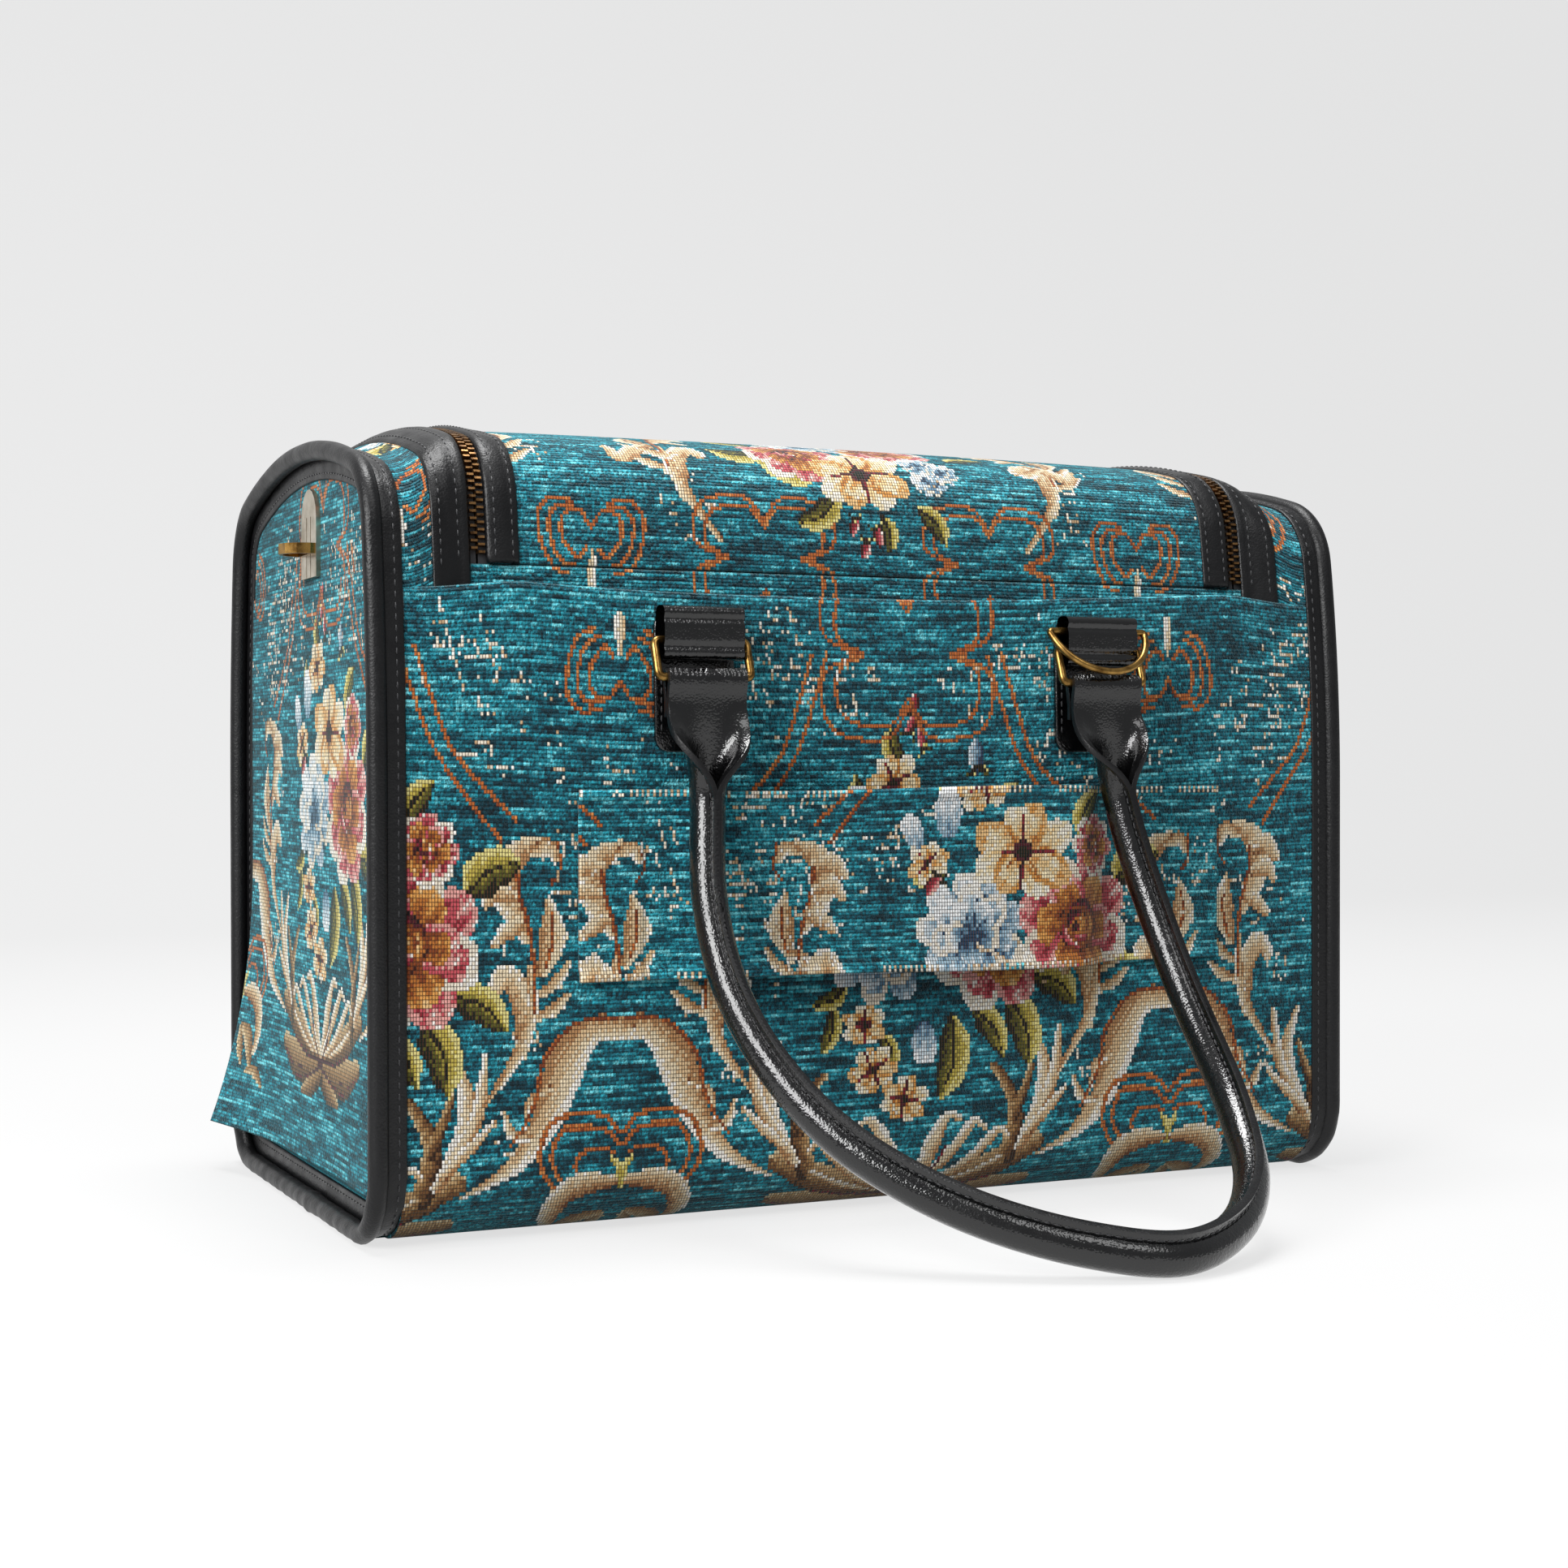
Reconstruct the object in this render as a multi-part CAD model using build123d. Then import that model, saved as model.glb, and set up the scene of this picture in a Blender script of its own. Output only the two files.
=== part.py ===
from build123d import *
from math import acos, asin, atan2, ceil, cos, degrees, hypot, pi, radians, sin, sqrt, tan
import os

# A loaf-shaped pet carrier bag of stiffened tapestry cloth with leather trim.
# X runs along the bag, Y from the near side with the slip pocket to the far side, Z up.
# The origin is on the floor, under the middle of the bag. All sizes are in millimetres.

# Overall form of the body
bag_length = 460.0
half_depth = 123.0
end_crown = 322.0
mid_crown = 333.0
base_lift = 1.3
straight_side_top = 180.0
side_lean_radius = 770.0
crown_radius = 330.0
base_corner_radius = 28.0
shoulder_corner_radius = 32.0

# Cloth, leather and seams
wall = 3.0
cloth = 1.6
leather = 1.2
snug = 0.05
soft_gap = 0.3

# Bends are drawn in short straight runs, and round bars with flat sides
bar_sides = 8
bend_slack = 0.4
corner_runs = 3
lean_runs = 2
crown_runs = 3

# Piping along the rim of each end
piping_diameter = 8.6
piping_press = 0.4
side_flange = 7.0
end_flange = 7.5

# Zip that frees the lid
zip_half_span = 181.0
zip_run_height = 278.0
zip_corner_radius = 30.0
zip_slot = 2.0
tooth_width = 3.0
tooth_height = 3.0
lid_band_width = 13.0
body_band_width = 16.0
band_thickness = 1.4
hinge_height = 269.0

# Slip pocket over the near wall
pocket_depth = 8.0
pocket_lean_radius = 1830.0
pocket_hem_left = 263.0
pocket_hem_right = 267.0
pocket_hem_middle = 257.5
pocket_tuck = 60.0

# Sleeve for the tubes of a trolley
sleeve_left = -144.0
sleeve_right = 161.0
sleeve_bottom = 102.0
sleeve_top = 179.0
sleeve_opening = 160.0
sleeve_slope = 26.0
sleeve_standoff = 13.0

# Handle tabs, rings and handles
tab_spacing = 188.0
tab_width = 35.0
tab_top = 253.0
tab_bottom = 194.0
tab_thickness = 2.5
tab_corner_radius = 7.0
loop_height = 22.0
loop_depth = 10.0
ring_wire = 3.6
ring_side_gap = 0.9
ring_drop = 16.0
ring_lean = 20.0
ring_corner_radius = 2.6
ring_pin_drop = 14.0
pin_clearance = 0.3
d_ring_wire = 3.2
d_ring_side_gap = 0.4
d_ring_pin_drop = 6.5
d_ring_reach = 22.0
d_ring_lean = 36.0
handle_diameter = 14.0
handle_length = 281.0
handle_bend_radius = 231.0
handle_strap_width = 34.0
handle_strap_thickness = 5.0
handle_strap_length = 54.0

# End panels, their windows, curtains and shoulder strap plates
window_half_width = 76.0
window_bottom = 62.0
window_top = 236.0
window_corner = 26.0
mesh_thickness = 1.2
curtain_top = 266.0
curtain_hem = 20.0
curtain_half_width = 107.0
curtain_taper = 3.0
curtain_hem_stand = 3.4
curtain_flare = 17.0
curtain_thickness = 1.5
plate_width = 26.0
plate_shift = -6.0
plate_top = 307.0
plate_bottom = 269.0
plate_thickness = 2.0
plate_loop_height = 281.0
plate_loop_reach = 13.0
plate_loop_strip = 4.5
plate_loop_gauge = 1.8

# Window in the far wall
far_window_half_width = 132.0
far_window_bottom = 52.0
far_window_top = 176.0
far_window_corner = 24.0
binding_width = 9.0

# Cabin floor
board_thickness = 3.0
pad_thickness = 18.0
floor_margin = 5.0

# Sliders and pull tabs
slider_length = 15.0
slider_plate = 1.5
slider_gap = 17.0
post_clearance = 0.4
pull_length = 20.0
pull_width = 8.0
pull_thickness = 1.6
pull_pin = 1.6
pull_neck = 5.0
pull_eye_radius = 1.75
eye_clearance = 0.25

# Values that follow from the sizes above
piping_radius = piping_diameter / 2
tube_x = bag_length / 2 - piping_radius
rim_x = tube_x - piping_radius
panel_face_x = rim_x - snug
blend_x = zip_half_span + 3
flange_x = rim_x - side_flange
band_start = zip_slot / 2 + tooth_width + snug
near, far = -1, 1
left, right = -1, 1


def circles_meet(centre_a, radius_a, centre_b, radius_b):
    """The point with the larger y where two circles in the section plane cross."""
    dy, dz = centre_b[0] - centre_a[0], centre_b[1] - centre_a[1]
    apart = hypot(dy, dz)
    along = (apart**2 + radius_a**2 - radius_b**2) / (2 * apart)
    across = sqrt(radius_a**2 - along**2)
    foot = (centre_a[0] + along * dy / apart, centre_a[1] + along * dz / apart)
    first = (foot[0] + across * dz / apart, foot[1] - across * dy / apart)
    second = (foot[0] - across * dz / apart, foot[1] + across * dy / apart)
    return max(first, second)


def bend(centre, radius, start, end, runs):
    """The corners of the short straight runs that follow an arc in the section plane."""
    turns = [start + (end - start) * step / runs for step in range(runs + 1)]
    return [(centre[0] + radius * cos(turn), centre[1] + radius * sin(turn)) for turn in turns]


def loaf_side(crown, half, inset, floor, lean_radius):
    """The far side of the bag's cross-section, from its base to the top of the crown."""
    crown_centre = (0.0, crown - crown_radius)
    lean_centre = (half - lean_radius, straight_side_top)
    base_centre = (half - base_corner_radius, floor + base_corner_radius)
    shoulder = circles_meet(lean_centre, lean_radius - shoulder_corner_radius,
                            crown_centre, crown_radius - shoulder_corner_radius)
    lean_end = atan2(shoulder[1] - lean_centre[1], shoulder[0] - lean_centre[0])
    crown_start = atan2(shoulder[1] - crown_centre[1], shoulder[0])
    side = bend(base_centre, base_corner_radius - inset, -pi / 2, 0, corner_runs)
    side += bend(lean_centre, lean_radius - inset, 0, lean_end, lean_runs)
    side += bend(shoulder, shoulder_corner_radius - inset, lean_end, crown_start, corner_runs)[1:]
    return side + bend(crown_centre, crown_radius - inset, crown_start, pi / 2, crown_runs)[1:]


def loaf(crown, inset=0.0, near_set=0.0, floor=base_lift, lean_radius=side_lean_radius):
    """The bag's cross-section, drawn in y and z, with every side moved in by inset."""
    far_side = loaf_side(crown, half_depth, inset, floor, lean_radius)
    near_side = loaf_side(crown, half_depth - near_set, inset, floor, lean_radius)
    outline = far_side + [(-y, z) for y, z in near_side[-2::-1]]
    return make_face(Polyline(*outline, close=True))


def softened(corners, radius, rounded=None):
    """An outline whose corners, or only those numbered in rounded, are rounded in short runs."""
    points = []
    for number, corner in enumerate(corners):
        here = Vector(*corner)
        if rounded is not None and number not in rounded:
            points.append(here)
            continue
        back = (Vector(*corners[number - 1]) - here).normalized()
        ahead = (Vector(*corners[(number + 1) % len(corners)]) - here).normalized()
        half_angle = radians(back.get_angle(ahead)) / 2
        centre = here + (back + ahead).normalized() * (radius / sin(half_angle))
        spoke = here + back * (radius / tan(half_angle)) - centre
        turn = (180 - 2 * degrees(half_angle)) * (1 if back.cross(ahead).Z < 0 else -1)
        points += [centre + spoke.rotate(Axis.Z, turn * step / corner_runs)
                   for step in range(corner_runs + 1)]
    return make_face(Polyline(*points, close=True))


def rectangle(low_x, high_x, low_y, high_y):
    """The corners of a rectangle, from its lower left one round to its upper left one."""
    return [(low_x, low_y), (high_x, low_y), (high_x, high_y), (low_x, high_y)]


def across(x, section):
    """A section placed across the bag at x."""
    return Plane.YZ.offset(x) * section


def both_ends(solid):
    """A solid at the right end together with its mirror image at the left."""
    return solid + mirror(solid, Plane.YZ)


def stations(path):
    """The corners of the short runs that follow a path of straight lines and arcs."""
    points = []
    for edge in path.order_edges():
        runs = 1
        if edge.geom_type == GeomType.CIRCLE:
            runs = ceil(edge.length / edge.radius / (2 * acos(1 - bend_slack / edge.radius)))
        points += [edge @ (run / runs) for run in range(runs)]
    return points


def bar(points, diameter, closed=True):
    """A round bar along short straight runs, mitred where they meet."""
    if closed:
        points = [(points[0] + points[-1]) / 2] + points
    path = Polyline(*points, close=closed)
    start = Plane(origin=path @ 0, z_dir=path % 0)
    return sweep(start * RegularPolygon(diameter / 2, bar_sides), path, transition=Transition.RIGHT)


def body_solid(inset):
    """The solid inside the skin of the body, moved in by inset, open-ended past the rims."""
    middle_section = loaf(mid_crown, inset, pocket_depth)
    end_section = loaf(end_crown, inset)
    middle = extrude(across(-blend_x, middle_section), 2 * blend_x)
    shoulder = loft([across(blend_x, middle_section), across(flange_x, end_section)], ruled=True)
    rim = extrude(across(flange_x, end_section), rim_x - flange_x)
    return middle + both_ends(shoulder + rim)


def lid_zone(grow, near_edge):
    """A block over all of the lid, out to the middle of the zip and then grown by grow."""
    half = zip_half_span + grow
    top = mid_crown + 60
    low = zip_run_height - grow
    outline = softened(rectangle(-half, half, low, top), zip_corner_radius + grow, (0, 1))
    far_side = extrude(Plane.XZ * outline, -2 * half_depth)
    square = make_face(Polyline((-half, top), (-half, near_edge), (half, near_edge), (half, top),
                                close=True))
    return far_side + extrude(Plane.XZ * square, 2 * half_depth)


def zip_strip(outer, inner, surface, depth, near_edge):
    """A strip along the zip, between two distances from its middle and two depths in the skin."""
    skin = body_solid(surface) - body_solid(depth)
    return skin & (lid_zone(outer, near_edge) - lid_zone(inner, near_edge - 200))


def rounded_window(half_width, bottom, top, corner):
    """A window with rounded corners, centred on the panel that it is cut in."""
    return softened(rectangle(-half_width, half_width, bottom, top), corner)


# Body shell: base, near and far walls and the two shoulder strips, one stiffened skin
far_window = rounded_window(far_window_half_width, far_window_bottom, far_window_top,
                            far_window_corner)
far_window_block = extrude(Plane.XZ * far_window, -2 * half_depth)
cavity = body_solid(wall) + both_ends(extrude(across(rim_x, loaf(end_crown, wall)), 5))
body_shell = body_solid(0) - cavity
body_shell -= lid_zone(band_start, hinge_height)
body_shell -= far_window_block

far_mesh = (body_solid(wall - mesh_thickness) - body_solid(wall)) & far_window_block
binding_block = extrude(
    Plane.XZ * (rounded_window(far_window_half_width + binding_width,
                               far_window_bottom - binding_width,
                               far_window_top + binding_width,
                               far_window_corner + binding_width) - far_window),
    -2 * half_depth)
far_binding = (body_solid(-leather) - body_solid(0)) & binding_block

# Lid: the padded top panel inside the zip
lid_panel = (body_solid(0) - body_solid(wall)) & lid_zone(-band_start, hinge_height + soft_gap)

# Leather bands on both sides of the zip, with the body bands tucked behind the pocket
body_zip_band = zip_strip(band_start + body_band_width, band_start, -band_thickness, 0,
                          hinge_height - 14)
lid_zip_band = (body_solid(-band_thickness) - body_solid(0)) & (
    lid_zone(-band_start, hinge_height + soft_gap)
    - lid_zone(-band_start - lid_band_width, hinge_height - 200))


def zip_half(side):
    """One half of the zip: the bead that its closed teeth make."""
    edges = side * zip_slot / 2, side * (zip_slot / 2 + tooth_width)
    return zip_strip(max(edges), min(edges), 0, tooth_height,
                     hinge_height + (soft_gap if side < 0 else 0))


body_zip_half = zip_half(1)
lid_zip_half = zip_half(-1)


# Near slip pocket: a full-length panel, tight at both ends and slack in the middle
def pocket_skin(inset):
    slack = loaf(mid_crown, inset, lean_radius=pocket_lean_radius)
    tight = loaf(end_crown, inset)
    slack_half = zip_half_span - 20
    middle = extrude(across(-slack_half, slack), 2 * slack_half)
    shoulder = loft([across(slack_half, slack), across(flange_x - snug, tight)], ruled=True)
    return middle + both_ends(shoulder)


hem_points = [(-flange_x, pocket_hem_left), (-120, 258.5), (-44, pocket_hem_middle),
              (40, 258.5), (120, 262), (flange_x, pocket_hem_right)]
hem_runs = 12
hem = Spline(*hem_points)
hem_line = [hem @ (run / hem_runs) for run in range(hem_runs + 1)]
pocket_outline = make_face(Polyline(*hem_line, (flange_x, 0), (-flange_x, 0), close=True))
pocket_region = Pos(0, -pocket_tuck, 0) * extrude(Plane.XZ * pocket_outline, 2 * half_depth)
near_pocket = (pocket_skin(0) - pocket_skin(cloth)) & pocket_region
near_pocket -= body_solid(-snug)


# Trolley sleeve: a band sewn flat at both ends that stands off the pocket between them
def sleeve_edge(offset, clear):
    """The run of one face of the sleeve, seen from above."""
    rise = sleeve_opening / 2 + sleeve_slope
    base = -(half_depth + snug + offset)
    out = -(half_depth + sleeve_standoff + offset)
    return [(sleeve_left, base), (-rise - clear, base), (-sleeve_opening / 2 - clear, out),
            (sleeve_opening / 2 + clear, out), (rise + clear, base), (sleeve_right, base)]


sleeve_outline = make_face(Polyline(*(sleeve_edge(0, 0) + sleeve_edge(cloth, 0.6)[::-1]),
                                    close=True))
sleeve_corners = [v for v in sleeve_outline.vertices() if abs(v.X) < sleeve_opening / 2 + 2]
sleeve_outline = fillet(sleeve_corners, 6)
trolley_sleeve = Pos(0, 0, sleeve_bottom) * extrude(sleeve_outline, sleeve_top - sleeve_bottom)

# Piping: a welt tube round each end with a flange on the body and one on the end panel
rim_floor = piping_radius - piping_press
rim_path = across(tube_x, loaf(end_crown, floor=rim_floor).wire())
piping_tube = bar(stations(rim_path), piping_diameter)
foot = Pos(tube_x, 0, -piping_radius) * Box(piping_diameter, 2 * half_depth, piping_diameter)
body_flange = extrude(across(flange_x, loaf(end_crown, -leather - snug) - loaf(end_crown, -snug)),
                      side_flange + piping_radius / 2)
flange_ring = (loaf(end_crown, piping_radius - 1, floor=rim_floor)
               - loaf(end_crown, piping_radius + end_flange, floor=rim_floor))
panel_flange = extrude(across(panel_face_x + snug, flange_ring), 2 * leather)
right_piping = piping_tube + body_flange + panel_flange - foot
left_piping = mirror(right_piping, Plane.YZ)

# End panels with a mesh window each
panel_outline = loaf(end_crown, wall + snug)
window = rounded_window(window_half_width, window_bottom, window_top, window_corner)
right_end_panel = extrude(across(panel_face_x - wall, panel_outline - window), wall)
right_end_mesh = extrude(across(panel_face_x - (wall + mesh_thickness) / 2, window),
                         mesh_thickness)
left_end_panel = mirror(right_end_panel, Plane.YZ)
left_end_mesh = mirror(right_end_mesh, Plane.YZ)


# Curtains: a flap over each mesh window, sewn along its top, its rear lower corner kicked out
def curtain_section(fall):
    """The curtain's cut at a share of its fall, from the seam down to the hem."""
    lift = max(0.0, fall - 0.5) ** 2 / 0.25
    half = curtain_half_width - curtain_taper * max(0.0, 1 - fall / 0.15)
    hang = panel_face_x + soft_gap + curtain_hem_stand * fall**6
    inner = []
    for side in (-1.0, -0.3, 0.0, 0.25, 0.5, 0.75, 1.0):
        flare = curtain_flare * lift * max(0.0, (side + 0.3) / 1.3) ** 3
        inner.append((hang + flare, side * half))
    outer = [(x + curtain_thickness, y) for x, y in inner]
    face = make_face(Polyline(*inner, *outer[::-1], close=True))
    return Pos(0, 0, curtain_top - fall * (curtain_top - curtain_hem)) * face


right_end_curtain = loft([curtain_section(fall) for fall in (0, 0.15, 0.5, 0.65, 0.8, 0.9, 1.0)],
                         ruled=True)
left_end_curtain = mirror(right_end_curtain, Plane.YZ)


# Shoulder strap plates: a round-topped brass plate and the fixed strip loop on its face
def strap_plate():
    half = plate_width / 2
    arch = bend((0, plate_top - half), half, 0, pi, 3 * corner_runs)
    blank = make_face(Polyline((-half, plate_bottom), (half, plate_bottom), *arch, close=True))
    plate = extrude(across(panel_face_x + snug, blank), plate_thickness)
    for y in (-3.5, 3.5):
        groove = Pos(panel_face_x + plate_thickness, y, plate_bottom + 13) * Box(0.8, 1.0, 26)
        plate -= groove
    return Pos(0, plate_shift, 0) * plate


def strap_loop():
    """The strip loop on the plate, a low D seen from above."""
    half = plate_width / 2 - 1.5
    start = panel_face_x + snug + plate_thickness
    bow_radius = (half**2 + (plate_loop_reach - 2)**2) / (2 * (plate_loop_reach - 2))
    swing = asin(half / bow_radius)
    centre = start + plate_loop_reach - bow_radius

    def bow(inset):
        """The loop's outline, this far inside its outer edge."""
        front = bend((centre, 0), bow_radius - inset, -swing, swing, 2 * corner_runs)
        return make_face(Polyline((start + inset, inset - half), *front,
                                  (start + inset, half - inset), close=True))

    strip = extrude(bow(0) - bow(plate_loop_gauge), plate_loop_strip)
    return Pos(0, plate_shift, plate_loop_height - plate_loop_strip / 2) * strip


right_strap_plate = strap_plate()
right_strap_loop = strap_loop()
left_strap_plate = mirror(right_strap_plate, Plane.YZ)
left_strap_loop = mirror(right_strap_loop, Plane.YZ)

# Cabin floor: a stiff board with a comfort pad on it
floor_top = base_lift + wall
floor_near = -(half_depth - pocket_depth - base_corner_radius)
floor_far = half_depth - base_corner_radius
floor_half_length = panel_face_x - wall - floor_margin


def floor_piece(margin, corner, bottom, thickness):
    """A flat piece on the cabin floor, this far inside its edges."""
    outline = softened(rectangle(margin - floor_half_length, floor_half_length - margin,
                                 floor_near + margin, floor_far - margin), corner)
    return Pos(0, 0, bottom) * extrude(outline, thickness)


base_board = floor_piece(0, 12, floor_top + snug, board_thickness)
pad_bottom = floor_top + 2 * snug + board_thickness
comfort_pad = floor_piece(1, 20, pad_bottom, pad_thickness)
comfort_pad = chamfer(comfort_pad.edges().group_by(Axis.Z)[-1], 5)


# Handle tabs: a backing strip, and the fold on it that holds the ring's upper bar
pin_y = half_depth + snug + tab_thickness + loop_depth / 2
pin_z = tab_top - ring_pin_drop
d_pin_z = tab_top - d_ring_pin_drop
left_tab_x = -tab_spacing / 2
right_tab_x = tab_spacing / 2


def handle_tab(x, side, pins, carrier):
    """A tab at x whose fold has a channel for each pin, given as height and wire size."""
    seat = 8
    outline = softened(rectangle(-tab_width / 2, tab_width / 2, tab_bottom, tab_top),
                       tab_corner_radius, (0, 1))
    strip = extrude(Plane.XZ * outline, -(tab_thickness + seat))
    strip = Pos(0, half_depth + snug - seat, 0) * strip
    fold = softened(rectangle(pin_y - loop_depth / 2, pin_y + loop_depth / 2,
                              tab_top - loop_height, tab_top), 4)
    for height, wire in pins:
        fold -= Pos(pin_y, height) * Circle(wire / 2 + pin_clearance)
    piece = strip + extrude(across(-tab_width / 2, fold), tab_width)
    if side == near:
        piece = mirror(piece, Plane.XZ)
    return Pos(x, 0, 0) * piece - carrier


ring_pin = (pin_z, ring_wire)
d_ring_pin = (d_pin_z, d_ring_wire)
near_carrier = pocket_skin(-snug) + body_solid(-snug)
far_carrier = body_solid(-snug)
near_left_tab = handle_tab(left_tab_x, near, [ring_pin], near_carrier)
near_right_tab = handle_tab(right_tab_x, near, [ring_pin, d_ring_pin], near_carrier)
far_left_tab = handle_tab(left_tab_x, far, [ring_pin], far_carrier)
far_right_tab = handle_tab(right_tab_x, far, [ring_pin], far_carrier)


# Rings: bent wire, drawn flat with the pin on the x axis and hung from a tab at a lean
def hang(x, side, height, lean, flat):
    return Pos(x, side * pin_y, height) * Rot(90 + side * lean, 0, 0) * flat


ring_half = tab_width / 2 + ring_side_gap + ring_wire / 2


def handle_ring(x, side):
    path = FilletPolyline((-ring_half, 0), (-ring_half, -ring_drop), (ring_half, -ring_drop),
                          (ring_half, 0), radius=ring_corner_radius, close=True)
    return hang(x, side, pin_z, ring_lean, bar(stations(path.wire()), ring_wire))


near_left_ring = handle_ring(left_tab_x, near)
near_right_ring = handle_ring(right_tab_x, near)
far_left_ring = handle_ring(left_tab_x, far)
far_right_ring = handle_ring(right_tab_x, far)

d_half = ring_half + ring_wire / 2 + d_ring_side_gap + d_ring_wire / 2
d_face = make_face([
    Line((-d_half, 0), (d_half, 0)),
    ThreePointArc((d_half, 0), (0, -d_ring_reach), (-d_half, 0)),
])
d_face = fillet(d_face.vertices(), ring_corner_radius)
d_ring = hang(right_tab_x, near, d_pin_z, d_ring_lean, bar(stations(d_face.wire()), d_ring_wire))


# Handles: a strap end folded round each ring's lower bar and rolled into a tube between them
lean = radians(ring_lean)
bar_y = pin_y + ring_drop * sin(lean)
bar_z = pin_z - ring_drop * cos(lean)


def on_handle(x, reach):
    """The point of the near handle's curved sheet at x, this far along from the ring bar."""
    turn = reach / handle_bend_radius
    return Vector(x, -bar_y - handle_bend_radius * (1 - cos(turn)),
                  bar_z - handle_bend_radius * sin(turn))


def strap_end(x, roll_x):
    """The folded strap round the ring bar and its taper into the rolled handle."""
    clear = ring_wire / 2 + pin_clearance
    fold = Circle(clear + tab_thickness) - Circle(clear)
    fold = extrude(across(-handle_strap_width / 2, fold), handle_strap_width)
    fold = Pos(x, -bar_y, bar_z) * fold
    sections = []
    widths = (handle_strap_width, 0.85 * handle_strap_width, handle_diameter)
    depths = (handle_strap_thickness, 0.5 * handle_diameter, handle_diameter)
    reaches = (clear + snug, 0.5 * handle_strap_length, handle_strap_length)
    for width, depth, reach in zip(widths, depths, reaches):
        share = reach / handle_strap_length
        turn = reach / handle_bend_radius
        place = Plane(origin=on_handle(x + (roll_x - x) * share**2, reach), x_dir=(1, 0, 0),
                      z_dir=(0, -sin(turn), -cos(turn)))
        section = Rectangle(width, depth)
        sections.append(place * chamfer(section.vertices(), 0.29 * depth))
    return fold + loft(sections, ruled=True)


roll_route = [(-96, handle_strap_length), (-98, 132), (-69, 208), (32, handle_length), (91, 238),
              (108, 166), (99, handle_strap_length)]
roll_runs = 20
roll_curve = Spline(*[on_handle(x, reach) for x, reach in roll_route])
roll = bar([roll_curve @ (run / roll_runs) for run in range(roll_runs + 1)], handle_diameter,
           closed=False)
near_handle = (roll + strap_end(left_tab_x, roll_route[0][0])
               + strap_end(right_tab_x, roll_route[-1][0]))
far_handle = mirror(near_handle, Plane.XZ)

# Sliders: two plates joined through the slot of the zip, with ears for a pull tab
wall_side = loaf_side(mid_crown, half_depth, 0, base_lift, side_lean_radius)
run_foot, run_head = wall_side[corner_runs + lean_runs:corner_runs + lean_runs + 2]
run_turn = atan2(run_foot[0] - run_head[0], run_head[1] - run_foot[1])
run_y = run_foot[0] - (zip_run_height - run_foot[1]) * tan(run_turn)
slider_width = 2 * band_start - 2 * soft_gap
pin_lift = soft_gap + slider_plate + pull_eye_radius + eye_clearance


def on_zip_run(x):
    """The skin at the zip's straight run, with local z outward and local y downward."""
    return Plane(origin=(x, run_y, zip_run_height), x_dir=(1, 0, 0),
                 z_dir=(0, cos(run_turn), sin(run_turn)))


def zip_slider(side):
    nose = slider_length / 2
    outline = make_face(Polyline(
        (-side * nose, -0.8 * slider_width / 2), (-side * nose, 0.8 * slider_width / 2),
        (0, slider_width / 2), (side * nose, slider_width / 2),
        (side * nose, -slider_width / 2), (0, -slider_width / 2), close=True))
    outer = Pos(0, 0, soft_gap) * extrude(outline, slider_plate)
    inner = Pos(0, 0, -tooth_height - soft_gap) * extrude(outline, -slider_plate)
    post = Pos(side * nose / 2, -tooth_height / 2 * tan(run_turn), -tooth_height / 2) * Box(
        4, zip_slot - 2 * post_clearance, tooth_height + 2 * soft_gap + slider_plate)
    ear = RegularPolygon(pull_pin, bar_sides) + Pos(0, -pull_pin) * Rectangle(2 * pull_pin, 2 * pull_pin)
    ear &= Pos(0, (pull_pin - pin_lift + soft_gap + slider_plate / 2) / 2) * Rectangle(
        2 * pull_pin, pull_pin + pin_lift - soft_gap - slider_plate / 2)
    slider = outer + inner + post
    for edge in (-1, 1):
        lug = extrude(Plane.YZ.offset(edge * pull_neck / 2 + (0 if edge > 0 else -1.2)) * ear, 1.2)
        slider += Pos(0, 0, pin_lift) * lug
    slider += Pos(0, 0, pin_lift) * Rot(0, 90, 0) * Cylinder(pull_pin / 2, pull_neck + 1)
    return on_zip_run(side * slider_gap / 2) * slider


def pull_tab(side):
    eye = Circle(pull_eye_radius) - Circle(pull_pin / 2 + eye_clearance)
    eye = extrude(across(-pull_neck / 2 + eye_clearance, eye), pull_neck - 2 * eye_clearance)
    blade = softened(rectangle(-pull_width / 2, pull_width / 2, pull_eye_radius,
                               pull_eye_radius + pull_length), pull_width / 3)
    blade -= Pos(0, pull_length + pull_eye_radius - pull_width / 2) * RegularPolygon(
        pull_width / 5, bar_sides)
    neck = Pos(0, pull_eye_radius + 1) * Rectangle(pull_neck - 2 * eye_clearance, 4)
    tab = extrude(blade + neck, pull_thickness / 2, both=True)
    tab -= Rot(0, 90, 0) * Cylinder(pull_pin / 2 + eye_clearance, pull_neck)
    return on_zip_run(side * slider_gap / 2) * Pos(0, 0, pin_lift) * (tab + eye)


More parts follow.
